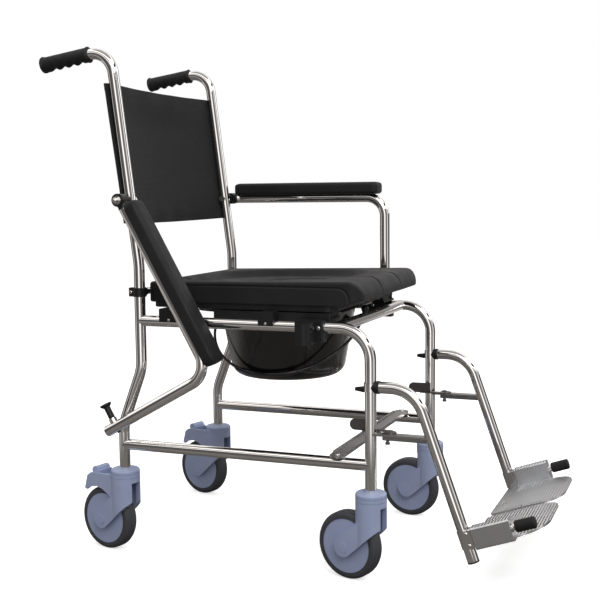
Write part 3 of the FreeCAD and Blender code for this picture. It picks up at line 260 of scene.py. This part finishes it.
def woven(name):
    """Plain weave of coated yarn, one thread about 1.3 mm wide, with slubs and fading."""
    s = Shader(name)
    warp, weft = (s.waves(direction, scale=120.0, distortion=0.4, detail=1.0)
                  for direction in ("X", "Z"))
    cross = s.math("MULTIPLY", warp, weft)
    slub_across = s.noise(scale=60.0, where=s.stretched(z=14.0))
    slub_up = s.noise(scale=60.0, where=s.stretched(x=14.0))
    slub = s.math("ADD", slub_across, slub_up)
    base = s.ramp(cross, (0.005, 0.005, 0.006), (0.020, 0.0195, 0.021), stops=(0.05, 0.75))
    tone = s.ramp(slub, (0.74, 0.74, 0.75), grey(1.18), stops=(0.75, 1.0))
    fade = s.ramp(s.noise(scale=5.0), grey(0.88), (1.08, 1.08, 1.09))
    colour = s.blend_colour(1.0, base, tone, "MULTIPLY")
    return s.finish({"Base Color": s.blend_colour(1.0, colour, fade, "MULTIPLY"),
                     "Roughness": s.span(slub, 0.72, 0.9, start=0.75, end=1.25),
                     "Normal": s.bump(cross, strength=0.35, distance=0.6 * MM),
                     "Sheen Weight": 0.06, "Sheen Roughness": 0.5,
                     "Specular IOR Level": 0.3})


MATERIALS = {
    "chrome_tube": chrome("chrome_tube", (0.86, 0.845, 0.835), 0.02, 0.06),
    "bright_hardware": chrome("bright_hardware", (0.82, 0.81, 0.80), 0.08, 0.16),
    "plated_steel": satin_metal("plated_steel", (0.36, 0.35, 0.345), (0.47, 0.46, 0.455),
                                0.27, 900.0, 0.03),
    "lever_steel": satin_metal("lever_steel", (0.15, 0.145, 0.14), (0.21, 0.20, 0.195),
                               0.34, 900.0, 0.04),
    "cast_aluminium": satin_metal("cast_aluminium", (0.66, 0.67, 0.69), (0.80, 0.81, 0.83),
                                  0.26, 700.0, 0.03, rib_pitch=6 * MM),
    "black_moulding": moulded("black_moulding", (0.007, 0.007, 0.008), (0.012, 0.012, 0.013),
                              0.38, 0.52, specular=0.35),
    "pan_plastic": moulded("pan_plastic", (0.005, 0.005, 0.006), (0.009, 0.009, 0.010),
                           0.12, 0.22, strength=0.02, coat=0.5, wear=1.2),
    "skinned_foam": foam_skin("skinned_foam"),
    "backrest_fabric": woven("backrest_fabric"),
    "grip_rubber": moulded("grip_rubber", (0.006, 0.006, 0.007), (0.011, 0.011, 0.012),
                           0.50, 0.66, grain=1300.0, strength=0.2, specular=0.35),
    "tyre_rubber": moulded("tyre_rubber", (0.048, 0.050, 0.060), (0.070, 0.072, 0.084),
                           0.52, 0.70, grain=800.0, strength=0.2, wear=1.35),
    "caster_plastic": moulded("caster_plastic", (0.36, 0.42, 0.62), (0.41, 0.475, 0.69),
                              0.34, 0.48, grain=700.0, strength=0.1, wear=1.2),
}


def dress(obj, slot):
    obj.data.materials.clear()
    obj.data.materials.append(MATERIALS[slot])


def dress_cad_nodes():
    """Each node wears its slot; a few pieces look different from the slot they are in."""
    for part in frame["record"]["subparts"]:
        dress(NODES[part["node"]], part["material_slot"])
    for side in ("right", "left"):
        dress(NODES[side + "_latch_lever"], "lever_steel")
        dress(NODES[side + "_footrest_clamp"], "bright_hardware")
    dress(NODES["rod_clamps"], "black_moulding")


# ---------------------------------------------------------------- mesh helpers
def new_piece(name, mesh, slot, body, *replaced):
    """Links a mesh as a piece that rides on a body and stands for CAD nodes."""
    obj = bpy.data.objects.new(name, mesh)
    bpy.context.scene.collection.objects.link(obj)
    for polygon in mesh.polygons:
        polygon.use_smooth = True
    dress(obj, slot)
    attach(obj, body)
    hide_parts(*replaced)


def mesh_from(name, points, faces):
    mesh = bpy.data.meshes.new(name)
    mesh.from_pydata([tuple(p) for p in points], [], faces)
    mesh.update()
    work = bmesh.new()
    work.from_mesh(mesh)
    bmesh.ops.recalc_face_normals(work, faces=work.faces)
    work.to_mesh(mesh)
    work.free()
    return mesh


def lofted(name, sections):
    """A mesh through equal rings of points, capped at both ends."""
    verts = [p for ring in sections for p in ring]
    count = len(sections[0])
    last = (len(sections) - 1) * count
    faces = []
    for start in range(0, last, count):
        for i in range(count):
            j = (i + 1) % count
            faces.append((start + i, start + j, start + count + j, start + count + i))
    faces.append(tuple(range(count)))
    faces.append(tuple(last + i for i in reversed(range(count))))
    return mesh_from(name, verts, faces)


def resample(loop, step):
    """The closed loop with extra points so that no side is longer than the step."""
    result = []
    for index, start in enumerate(loop):
        end = loop[(index + 1) % len(loop)]
        length = (end - start).length
        if length < 1e-7:
            continue
        pieces = max(1, math.ceil(length / step))
        result += [start.lerp(end, k / pieces) for k in range(pieces)]
    return result


def smoothstep(low, high, value):
    share = min(1.0, max(0.0, (value - low) / (high - low)))
    return share * share * (3.0 - 2.0 * share)


def groove(distance, half_width, depth):
    """Depth of a soft channel at a distance from its centre line."""
    share = abs(distance) / half_width
    return depth * math.cos(share * math.pi / 2) ** 2 if share < 1.0 else 0.0


def round_over(distance, radius):
    """How far a rounded edge drops at a distance inside it."""
    if distance >= radius:
        return 0.0
    inner = radius - max(distance, 0.0)
    return radius - math.sqrt(max(radius * radius - inner * inner, 0.0))


# ---------------------------------------------------------------- seat
PAD_LOW, PAD_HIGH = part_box("seat_pad")
INSERT_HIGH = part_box("seat_insert")[1]
REAR_BULGE = 6 * MM
SEAT_HALF = PAD_HIGH.x
SEAT_FRONT = PAD_LOW.y
SEAT_REAR = PAD_HIGH.y + REAR_BULGE
SEAT_TOP = PAD_HIGH.z
SEAT_BOTTOM = PAD_LOW.z
FRONT_CORNER_R = 26 * MM
REAR_CORNER_R = 16 * MM
CORNER_STEPS = 12

# The split runs round the insert: a hole with a channel to the seat's front.
HOLE_R = INSERT_HIGH.x + 1.2 * MM
HOLE_Y = INSERT_HIGH.y - INSERT_HIGH.x
HOLE_STEPS = 96
CHANNEL_HALF = 65 * MM
SPLIT_GAP = 2.2 * MM

DISH_CENTRE_Y = 85 * MM
DISH_HALF_X = 168 * MM
DISH_HALF_Y = 185 * MM
DISH_DEPTH = 22 * MM
RIM_SHARE = 0.70
SEAT_LEAN = 9 * MM
FRONT_RUN = 32 * MM
FRONT_DROP = 24 * MM
DENT_X = -100 * MM
DENT_FROM_REAR = 35 * MM
DENT_HALF_X = 22 * MM
DENT_HALF_Y = 10 * MM
DENT_DEPTH = 5 * MM

SEAM_BELOW_TOP = 8.5 * MM
SEAM_BEHIND_FRONT = 25 * MM
SEAM_TURN_R = 24 * MM
SEAM_HALF = 2.4 * MM
SEAM_DEPTH = 2.6 * MM
UNDERCUT_DEPTH = 36 * MM
UNDERCUT_RISE = 13 * MM
EDGE_R = 5.5 * MM
SPLIT_R = 6.0 * MM
LOWER_EDGE_R = 3 * MM
THINNEST = 2 * MM

INSETS = [inset * MM for inset in (0.35, 0.9, 1.7, 2.8, 4.2, 6.0)]
INSET_TOLERANCE = 0.12 * MM
GRID_INSET = 7.6 * MM
GRID_ROW = 0.866
WALL_LEVELS = 32
SIDE_BAND = 1 * MM


def seat_distance(x, y):
    """Distance inside the seat's outline (negative outside)."""
    radius = FRONT_CORNER_R if y < 0 else REAR_CORNER_R
    qx = abs(x) - (SEAT_HALF - radius)
    qy = (SEAT_FRONT + radius - y) if y < 0 else (y - SEAT_REAR + radius)
    outside = math.hypot(max(qx, 0.0), max(qy, 0.0))
    return radius - outside - min(max(qx, qy), 0.0)


def split_distance(x, y):
    """Distance outside the split's line (negative on the insert's side)."""
    disc = math.hypot(x, y - HOLE_Y) - HOLE_R
    qx, qy = abs(x) - CHANNEL_HALF, y - HOLE_Y
    channel = math.hypot(max(qx, 0.0), max(qy, 0.0)) + min(max(qx, qy), 0.0)
    return min(disc, channel)


def pad_inside(x, y):
    return min(seat_distance(x, y), split_distance(x, y) - SPLIT_GAP / 2)


def insert_inside(x, y):
    return min(seat_distance(x, y), -split_distance(x, y) - SPLIT_GAP / 2)


def split_share(x, y):
    """1 along the split between pad and insert, 0 along the seat's own outline."""
    return 1.0 if abs(split_distance(x, y)) < seat_distance(x, y) else 0.0


def seat_outline(step):
    """Points round the seat's plan, anticlockwise."""
    front_x, front_y = SEAT_HALF - FRONT_CORNER_R, SEAT_FRONT + FRONT_CORNER_R
    rear_x, rear_y = SEAT_HALF - REAR_CORNER_R, SEAT_REAR - REAR_CORNER_R
    corners = [(front_x, front_y, FRONT_CORNER_R, -90), (rear_x, rear_y, REAR_CORNER_R, 0),
               (-rear_x, rear_y, REAR_CORNER_R, 90), (-front_x, front_y, FRONT_CORNER_R, 180)]
    rough = []
    for centre_x, centre_y, radius, start in corners:
        for index in range(CORNER_STEPS + 1):
            angle = math.radians(start + 90 * index / CORNER_STEPS)
            rough.append(Vector((centre_x + radius * math.cos(angle),
                                 centre_y + radius * math.sin(angle))))
    return resample(rough, step)


def hole_arc(radius, half, turn):
    """Points round the hole from one side of its mouth, anticlockwise if turn is 1, else -1."""
    mouth = math.asin(half / radius)
    arc = []
    for index in range(HOLE_STEPS + 1):
        swept = mouth + (2 * math.pi - 2 * mouth) * index / HOLE_STEPS
        angle = turn * swept - math.pi / 2
        arc.append(Vector((radius * math.cos(angle), HOLE_Y + radius * math.sin(angle))))
    return arc


def pad_outline(step):
    """The pad's plan: the seat's outline, notched from the front by the hole and channel."""
    outer = seat_outline(step)
    half = CHANNEL_HALF + SPLIT_GAP / 2

    def on_front(point):
        return abs(point.y - SEAT_FRONT) < 1e-6

    right_of_mouth = [i for i, p in enumerate(outer) if on_front(p) and p.x >= half]
    start = min(right_of_mouth, key=lambda i: outer[i].x)
    ordered = outer[start:] + outer[:start]
    kept = [p for p in ordered if not (on_front(p) and abs(p.x) < half)]
    left = Vector((-half, SEAT_FRONT))
    right = Vector((half, SEAT_FRONT))
    return resample(kept + [left] + hole_arc(HOLE_R + SPLIT_GAP / 2, half, -1) + [right], step)


def insert_outline(step):
    half = CHANNEL_HALF - SPLIT_GAP / 2
    left = Vector((-half, SEAT_FRONT))
    right = Vector((half, SEAT_FRONT))
    return resample([left, right] + hole_arc(HOLE_R - SPLIT_GAP / 2, half, 1), step)


def seat_surface(x, y):
    """Height of the seat's top: rim, dish, sloping front and a small dent at the rear."""
    across, along = abs(x) / DISH_HALF_X, abs(y - DISH_CENTRE_Y) / DISH_HALF_Y
    radius = (across ** 3 + along ** 3) ** (1 / 3)
    rim = RIM_SHARE * (1.0 - smoothstep(0.84, 1.02, radius))
    hollow = (1.0 - RIM_SHARE) * (1.0 - smoothstep(0.2, 0.95, radius))
    lean = (y - DISH_CENTRE_Y) / (SEAT_REAR - SEAT_FRONT)
    height = SEAT_TOP - DISH_DEPTH * (rim + hollow) - SEAT_LEAN * lean
    ahead = (SEAT_FRONT + FRONT_RUN - y) / FRONT_RUN
    if ahead > 0:
        height -= FRONT_DROP * (0.35 * ahead ** 2 + 0.65 * ahead ** 3.2)
    dent = math.hypot((x - DENT_X) / DENT_HALF_X, (y - SEAT_REAR + DENT_FROM_REAR) / DENT_HALF_Y)
    return height - DENT_DEPTH * (1.0 - smoothstep(0.75, 1.1, dent))


def seat_underside(y):
    """Height of the seat's underside, which rises towards the front edge."""
    return SEAT_BOTTOM + UNDERCUT_RISE * max(0.0, 1.0 - (y - SEAT_FRONT) / UNDERCUT_DEPTH)


def seam_distance(y, z):
    """Distance from the side seam: along under the top edge, then down near the front."""
    seam_z = SEAT_TOP - SEAM_BELOW_TOP
    turn_y = SEAT_FRONT + SEAM_BEHIND_FRONT + SEAM_TURN_R
    turn_z = seam_z - SEAM_TURN_R
    if y >= turn_y:
        return abs(z - seam_z)
    if z <= turn_z:
        return abs(y - turn_y + SEAM_TURN_R)
    return abs(math.hypot(y - turn_y, z - turn_z) - SEAM_TURN_R)


def inset_points(loop, inside):
    """Rings of points just inside the edge, close enough to carry its rounding."""
    found = []
    for inset in INSETS:
        for index, p in enumerate(loop):
            along = (loop[(index + 1) % len(loop)] - loop[index - 1]).normalized()
            q = p + Vector((-along.y, along.x)) * inset
            if abs(inside(q.x, q.y) - inset) < INSET_TOLERANCE:
                found.append(q)
    return found


def grid_points(loop, inside, step):
    """A grid of nearly equal-sided triangles over the rest of the plan."""
    x_low, x_high = min(p.x for p in loop), max(p.x for p in loop)
    y, y_high = min(p.y for p in loop), max(p.y for p in loop)
    found = []
    row = 0
    while y < y_high:
        x = x_low + (step / 2 if row % 2 else 0.0)
        while x < x_high:
            if inside(x, y) > GRID_INSET:
                found.append(Vector((x, y)))
            x += step
        y += step * GRID_ROW
        row += 1
    return found


def add_walls(verts, faces, rim, total):
    """Joins the top's rim to the underside's by rings of faces, with the side seam pressed in."""
    levels = [rim]
    for number in range(1, WALL_LEVELS):
        level = []
        for i in rim:
            point = verts[i].lerp(verts[total + i], number / WALL_LEVELS)
            if abs(point.x) > SEAT_HALF - SIDE_BAND:
                dip = groove(seam_distance(point.y, point.z), SEAM_HALF, SEAM_DEPTH)
                point.x -= math.copysign(dip, point.x)
            level.append(len(verts))
            verts.append(point)
        levels.append(level)
    levels.append([total + i for i in rim])
    for upper, lower in zip(levels, levels[1:]):
        for i in range(len(rim)):
            j = (i + 1) % len(rim)
            faces.append((upper[i], lower[i], lower[j], upper[j]))


def padded_mesh(name, loop, inside, step):
    """A closed pad over a plan, where inside(x, y) is the distance in from its edge."""
    count = len(loop)
    points = loop + inset_points(loop, inside) + grid_points(loop, inside, step)
    ring = [(i, (i + 1) % count) for i in range(count)]
    plan, _, triangles, origin, _, _ = delaunay_2d_cdt(points, ring, [list(range(count))], 1, 1e-6)
    new_index = {old: new for new, olds in enumerate(origin) for old in olds}
    top = []
    bottom = []
    for p in plan:
        depth = inside(p.x, p.y)
        share = split_share(p.x, p.y)
        radius = EDGE_R * (1.0 - share) + SPLIT_R * share
        under = seat_underside(p.y) + round_over(depth, LOWER_EDGE_R) * (1.0 - share)
        z = seat_surface(p.x, p.y) - round_over(depth, radius)
        top.append(Vector((p.x, p.y, max(z, under + THINNEST))))
        bottom.append(Vector((p.x, p.y, under)))
    total = len(plan)
    verts = top + bottom
    faces = [tuple(t) for t in triangles]
    faces += [tuple(total + i for i in reversed(t)) for t in triangles]
    add_walls(verts, faces, [new_index[i] for i in range(count)], total)
    return mesh_from(name, verts, faces)


def build_seat():
    step = 3.5 * MM
    pad = padded_mesh("seat_cushion", pad_outline(2 * MM), pad_inside, step)
    new_piece("seat_cushion", pad, "skinned_foam", "seat", "seat_pad")
    insert = padded_mesh("seat_cushion_insert", insert_outline(3 * MM), insert_inside, step)
    new_piece("seat_cushion_insert", insert, "skinned_foam", "insert", "seat_insert")


# ---------------------------------------------------------------- arm pads
ARM_PAD_STEPS = 60
ARM_PAD_REAR_LAP = 8 * MM
ARM_PAD_END_R = 14 * MM
ARM_PAD_END_SHRINK = 0.36
ARM_PAD_CROWN = 0.6 * MM
ARM_PAD_RING = 64
ARM_PAD_SQUARENESS = 5.0
ARM_SEAM_SHARE = 0.66
ARM_SEAM_HALF = 1.8 * MM
ARM_SEAM_DEPTH = 1.3 * MM


def arm_pad_section(half_width, height, shrink):
    """Cross-section of an arm pad: rounded square with a crowned top and two seam grooves."""
    ring = []
    for index in range(ARM_PAD_RING):
        angle = 2 * math.pi * index / ARM_PAD_RING
        across, up = math.cos(angle), math.sin(angle)
        power = 2 / ARM_PAD_SQUARENESS
        x = half_width * shrink * math.copysign(abs(across) ** power, across)
        z = height / 2 * shrink * math.copysign(abs(up) ** power, up)
        if z > 0:
            z += ARM_PAD_CROWN * (1 - (x / half_width) ** 2)
            z -= groove(abs(x) - half_width * ARM_SEAM_SHARE, ARM_SEAM_HALF, ARM_SEAM_DEPTH)
        ring.append((x, z))
    return ring


def build_arm_pad(side):
    """Foam pad along the arm, made level; the right arm is stored dropped, so its pad is turned."""
    low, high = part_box("left_arm_pad")
    centre = (low + high) / 2
    front, rear = low.y, high.y + ARM_PAD_REAR_LAP
    sections = []
    for k in range(ARM_PAD_STEPS + 1):
        eased = 0.5 - 0.5 * math.cos(math.pi * k / ARM_PAD_STEPS)
        y = front + (rear - front) * eased
        inner = max(0.0, 1 - min(y - front, rear - y) / ARM_PAD_END_R)
        shrink = 1.0 - ARM_PAD_END_SHRINK * (1 - math.sqrt(max(0.0, 1 - inner * inner)))
        section = arm_pad_section(high.x - centre.x, high.z - low.z, shrink)
        sections.append([Vector((centre.x + x, y, centre.z + z)) for x, z in section])
    mesh = lofted(side + "_arm_cushion", sections)
    if side == "right":
        joint = JOINTS["right_arm_raise"]
        pivot = Matrix.Translation(Vector(joint["pos_m"]))
        drop = Matrix.Rotation(math.radians(joint["range_deg"][1]), 4, "X")
        mesh.transform(Matrix.Scale(-1, 4, Vector((1, 0, 0))))
        mesh.flip_normals()
        mesh.transform(pivot @ drop @ pivot.inverted())
    new_piece(side + "_arm_cushion", mesh, "skinned_foam", side + "_arm", side + "_arm_pad")


# ---------------------------------------------------------------- backrest
TUBE_R = 11.1 * MM
POST_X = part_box("left_back_tube")[1].x - TUBE_R
POST_LEAN = math.atan2(54, 430)
PANEL_THICK = 4 * MM
PANEL_SAG = 26 * MM
PANEL_BOX_DEPTH = 27 * MM
PANEL_FLAT_X = POST_X - 14 * MM
LOWER_SEAM, UPPER_SEAM = 0.058, 0.942
STITCH_HALF = 1.4 * MM
HEM_STITCH_DEPTH = 0.9 * MM
SIDE_STITCH_DEPTH = 0.7 * MM
SIDE_STITCH_X = PANEL_FLAT_X - 6 * MM
SIDE_CURL = 7 * MM


def panel_depth(x, share, half):
    """How far back the panel's middle lies; share goes from 0 at its foot to 1 at its top."""
    if abs(x) >= PANEL_FLAT_X:
        out = (abs(x) - PANEL_FLAT_X) / (half - PANEL_FLAT_X)
        return SIDE_CURL * max(0.0, out - 0.45) ** 1.5 * smoothstep(0.1, 1.0, share)
    across = 1 - (x / PANEL_FLAT_X) ** 2
    ends = 1.0 - 0.16 * smoothstep(0.0, 0.10, share) * smoothstep(1.0, 0.90, share)
    ripple = 0.9 * MM * math.sin(x * 75 + 2.0 * share) * (1 - smoothstep(0.0, 0.22, share))
    ripple += 0.6 * MM * math.sin(x * 60 + 1.3) * smoothstep(0.8, 1.0, share)
    taut = 1.0 - 0.55 * smoothstep(0.70, 1.0, share)
    return PANEL_SAG * across * ends * taut + ripple * across


def panel_thickness(x, share, height):
    """Thicker at the hems, with a stitched line along each hem and each side sleeve."""
    foot = 1 - smoothstep(LOWER_SEAM - 0.003, LOWER_SEAM + 0.004, share)
    head = smoothstep(UPPER_SEAM - 0.004, UPPER_SEAM + 0.003, share)
    hem_line = min(abs(share - LOWER_SEAM), abs(share - UPPER_SEAM)) * height
    side_line = abs(abs(x) - SIDE_STITCH_X)
    return (PANEL_THICK * (0.72 + 0.28 * max(foot, head))
            - groove(hem_line, STITCH_HALF, HEM_STITCH_DEPTH)
            - groove(side_line, STITCH_HALF, SIDE_STITCH_DEPTH))


def build_backrest():
    """Doubled fabric panel: flat at the posts, sagging back between them, hemmed and stitched."""
    low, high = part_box("backrest_sling")
    up = Vector((0, math.sin(POST_LEAN), math.cos(POST_LEAN)))
    back = Vector((0, math.cos(POST_LEAN), -math.sin(POST_LEAN)))
    half = high.x
    height = (high.z - low.z - PANEL_BOX_DEPTH * math.sin(POST_LEAN)) / math.cos(POST_LEAN)
    foot = Vector((0, low.y, low.z + (PANEL_THICK + PANEL_SAG) * math.sin(POST_LEAN)))
    rows, columns = ((90, 140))
    verts = []
    for layer in (-1, 1):
        for row in range(rows + 1):
            share = row / rows
            for column in range(columns + 1):
                x = -half + 2 * half * column / columns
                offset = panel_depth(x, share, half) + PANEL_THICK / 2
                offset += layer * panel_thickness(x, share, height) / 2
                verts.append(foot + Vector((x, 0, 0)) + up * (height * share) + back * offset)
    stride = columns + 1
    total = stride * (rows + 1)
    faces = []
    for row in range(rows):
        for column in range(columns):
            a = row * stride + column
            b = total + a
            faces.append((a, a + 1, a + stride + 1, a + stride))
            faces.append((b, b + stride, b + stride + 1, b + 1))
    rim = list(range(columns))
    rim += [row * stride + columns for row in range(rows)]
    rim += [rows * stride + column for column in range(columns, 0, -1)]
    rim += [row * stride for row in range(rows, 0, -1)]
    for index, a in enumerate(rim):
        b = rim[(index + 1) % len(rim)]
        faces.append((a, total + a, total + b, b))
    mesh = mesh_from("backrest_panel", verts, faces)
    new_piece("backrest_panel", mesh, "backrest_fabric", "frame", "backrest_sling")


# ---------------------------------------------------------------- push grips
GRIP_DIP = math.atan2(22, 156)
GRIP_R = 15.2 * MM
GRIP_LENGTH = 112 * MM
GRIP_AXIS_ABOVE = 17 * MM
GRIP_FLARE = 1.8 * MM
GRIP_SECTIONS = 90
GRIP_RING = 72
MOUTH_ROUND = 1.5 * MM
NOSE_ROUND = 3 * MM
FINGERS = 4
FINGER_START = 20 * MM
FINGER_PITCH = 21.5 * MM
FINGER_DEPTH = 3.6 * MM
KNUCKLE_RISE = 1.2 * MM


def grip_radius(along, under):
    """Radius at a distance along the grip; under is 1 on its underside and 0 on top."""
    share = along / GRIP_LENGTH
    radius = GRIP_R + GRIP_FLARE * (1 - smoothstep(0.0, 0.055, share))
    radius += GRIP_FLARE * smoothstep(0.93, 0.97, share)
    radius -= max(0.0, MOUTH_ROUND - along)
    radius -= round_over(GRIP_LENGTH - along, NOSE_ROUND)
    finger = (along - FINGER_START) / FINGER_PITCH
    hollow = 0.0
    if -0.5 < finger < FINGERS - 0.5:
        hollow = (0.5 + 0.5 * math.cos(2 * math.pi * finger)) ** 0.8
    radius -= FINGER_DEPTH * hollow * under
    if 0.1 < share < 0.95:
        radius += KNUCKLE_RISE * under * (1 - hollow)
    return radius


def build_grip(side):
    """Moulded grip: flared ends and four finger hollows underneath."""
    low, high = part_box("push_grips")
    outward = Vector((0, math.cos(GRIP_DIP), -math.sin(GRIP_DIP)))
    over = Vector((0, math.sin(GRIP_DIP), math.cos(GRIP_DIP)))
    axis_x = POST_X if side == "left" else -POST_X
    end = Vector((axis_x, high.y, low.z)) + Vector((0, -over.y, over.z)) * GRIP_AXIS_ABOVE
    start = end - outward * GRIP_LENGTH
    sections = []
    for k in range(GRIP_SECTIONS + 1):
        along = GRIP_LENGTH * k / GRIP_SECTIONS
        ring = []
        for i in range(GRIP_RING):
            angle = 2 * math.pi * i / GRIP_RING
            radius = grip_radius(along, max(0.0, -math.cos(angle)) ** 2)
            across = Vector((math.sin(angle) * radius, 0, 0))
            ring.append(start + outward * along + across + over * (math.cos(angle) * radius))
        sections.append(ring)
    mesh = lofted(side + "_hand_grip", sections)
    new_piece(side + "_hand_grip", mesh, "grip_rubber", "frame", "push_grips")


# ---------------------------------------------------------------- floor
FLOOR_HALF = 14.0
GROUND_R = 1.1
GROUND_FADE = 0.4


def build_floor():
    """Pale floor; what reflects it sees a small darker ground with the studio round it."""
    mesh = bpy.data.meshes.new("floor")
    corners = [(x * FLOOR_HALF, y * FLOOR_HALF, 0) for x, y in ((-1, -1), (1, -1), (1, 1), (-1, 1))]
    mesh.from_pydata(corners, [], [(0, 1, 2, 3)])
    floor = bpy.data.objects.new("floor", mesh)
    bpy.context.scene.collection.objects.link(floor)
    s = Shader("floor_paint")
    s.finish({"Base Color": s.ramp(s.noise(scale=3.0, detail=4.0), grey(0.88), grey(0.92)),
              "Roughness": 0.9, "Specular IOR Level": 0.1,
              "Emission Color": grey(1.0), "Emission Strength": 0.62})
    ground = s.add("ShaderNodeBsdfDiffuse")
    earth = s.ramp(s.noise(scale=1.5), (0.15, 0.14, 0.13), (0.22, 0.205, 0.19))
    s.put(earth, ground.inputs["Color"])
    from_chair = s.add("ShaderNodeVectorMath", operation="LENGTH")
    s.put(s.place, from_chair.inputs[0])
    far = s.span(from_chair.outputs["Value"], 0.0, 1.0, GROUND_R, GROUND_R + GROUND_FADE)
    clear = s.add("ShaderNodeBsdfTransparent").outputs["BSDF"]
    to_camera = s.add("ShaderNodeLightPath").outputs["Is Camera Ray"]
    reflected = s.blend_shader(far, ground.outputs["BSDF"], clear)
    seen = s.blend_shader(to_camera, reflected, s.surface.outputs["BSDF"])
    s.put(seen, s.tree.nodes["Material Output"].inputs["Surface"])
    floor.data.materials.append(s.material)


# ---------------------------------------------------------------- studio
SOFT_STRENGTH = 0.50
WALL_STOPS = [(0.00, 0.16), (0.02, 1.3), (0.08, 1.6), (0.10, 0.16), (0.20, 0.26), (0.235, 1.0),
              (0.27, 1.1), (0.29, 0.04), (0.42, 0.10), (0.48, 0.40), (0.52, 1.0), (0.56, 0.06),
              (0.74, 0.05), (0.77, 0.55), (0.81, 0.65), (0.84, 0.06), (0.96, 0.12), (1.00, 0.16)]
HEIGHT_STOPS = [(0.00, 0.12), (0.30, 0.14), (0.34, 0.50), (0.44, 0.45), (0.47, 0.10),
                (0.66, 0.12), (0.70, 1.10), (0.76, 1.40), (0.78, 0.06), (0.83, 0.09),
                (0.85, 1.50), (0.92, 1.70), (0.94, 0.30), (1.00, 0.45)]
LEVEL_STOPS = [(0.0, 0), (0.34, 0), (0.42, 0.9), (0.64, 0.9), (0.72, 0), (1.0, 0)]


def build_world():
    """White to the camera; to everything else a studio with bright screens and dark gaps.

    Round the horizon the screens stand side by side; above and below they lie in rings."""
    world = bpy.data.worlds.new("studio")
    bpy.context.scene.world = world
    world.use_nodes = True
    world.node_tree.nodes.clear()
    w = Nodes(world.node_tree)

    def backdrop(colour, strength):
        node = w.add("ShaderNodeBackground")
        w.fill(node, {"Color": colour, "Strength": strength})
        return node.outputs["Background"]

    direction = w.add("ShaderNodeSeparateXYZ")
    w.put(w.add("ShaderNodeTexCoord").outputs["Generated"], direction.inputs["Vector"])
    bearing = w.math("ARCTAN2", direction.outputs["Y"], direction.outputs["X"])
    round_share = w.span(bearing, 0.0, 1.0, -math.pi, math.pi)
    height_share = w.span(direction.outputs["Z"], 0.0, 1.0, -1.0, 1.0)
    walls = w.bands(round_share, [(p, (v, v * 0.965, v * 0.945)) for p, v in WALL_STOPS])
    rings = w.bands(height_share, [(p, (v, v * 0.965, v * 0.935)) for p, v in HEIGHT_STOPS])
    near_level = w.bands(height_share, [(p, grey(v)) for p, v in LEVEL_STOPS])
    room = backdrop(w.blend_colour(near_level, rings, walls), 1.0)
    soft = backdrop((1.0, 0.99, 0.98), SOFT_STRENGTH)
    white = backdrop(grey(1.0), 1.0)
    path = w.add("ShaderNodeLightPath")
    lit = w.blend_shader(path.outputs["Is Glossy Ray"], soft, room)
    seen = w.blend_shader(path.outputs["Is Camera Ray"], lit, white)
    w.put(seen, w.add("ShaderNodeOutputWorld").inputs["Surface"])


def area_light(name, location, target, size, power, mirrored=True):
    data = bpy.data.lights.new(name, "AREA")
    data.shape = "RECTANGLE"
    data.size, data.size_y = size
    data.energy = power
    lamp = bpy.data.objects.new(name, data)
    bpy.context.scene.collection.objects.link(lamp)
    lamp.location = location
    direction = Vector(target) - Vector(location)
    lamp.rotation_euler = direction.to_track_quat("-Z", "Y").to_euler()
    lamp.visible_glossy = mirrored


def build_lights():
    area_light("key", location=(-2.4, -1.9, 3.0), target=(0, 0, 0.5), size=(2.2, 2.2), power=58)
    area_light("top", location=(0.2, 0.3, 3.4), target=(0, 0, 0.4), size=(3.0, 3.0), power=38,
               mirrored=False)
    area_light("fill", location=(2.4, -2.2, 1.8), target=(0, 0, 0.5), size=(2.0, 1.6), power=14)


# ---------------------------------------------------------------- camera
CAMERA_YAW = math.radians(21.63)
CAMERA_PITCH = math.radians(-5.64)
CAMERA_ROLL = math.radians(-0.588)
CAMERA_PLACE = Vector((-2.0995, -0.7951, 0.7369))
CAMERA_LENS = 63.864
CAMERA_SENSOR = 36.0


def build_camera():
    data = bpy.data.cameras.new("camera")
    data.lens = CAMERA_LENS
    data.sensor_width = CAMERA_SENSOR
    camera = bpy.data.objects.new("camera", data)
    bpy.context.scene.collection.objects.link(camera)
    level = Vector((math.cos(CAMERA_YAW), math.sin(CAMERA_YAW), 0))
    forward = level * math.cos(CAMERA_PITCH) + Vector((0, 0, math.sin(CAMERA_PITCH)))
    right = Vector((math.sin(CAMERA_YAW), -math.cos(CAMERA_YAW), 0))
    up = right.cross(forward)
    right_rolled = right * math.cos(CAMERA_ROLL) + up * math.sin(CAMERA_ROLL)
    up_rolled = up * math.cos(CAMERA_ROLL) - right * math.sin(CAMERA_ROLL)
    axes = Matrix((right_rolled, up_rolled, -forward)).transposed()
    camera.matrix_world = Matrix.Translation(CAMERA_PLACE) @ axes.to_4x4()
    bpy.context.scene.camera = camera


# ---------------------------------------------------------------- the scene
dress_cad_nodes()
build_seat()
for hand in ("left", "right"):
    build_arm_pad(hand)
build_backrest()
for hand in ("left", "right"):
    build_grip(hand)
build_floor()
build_world()
build_lights()
build_camera()
bpy.context.scene.view_settings.view_transform = "Standard"
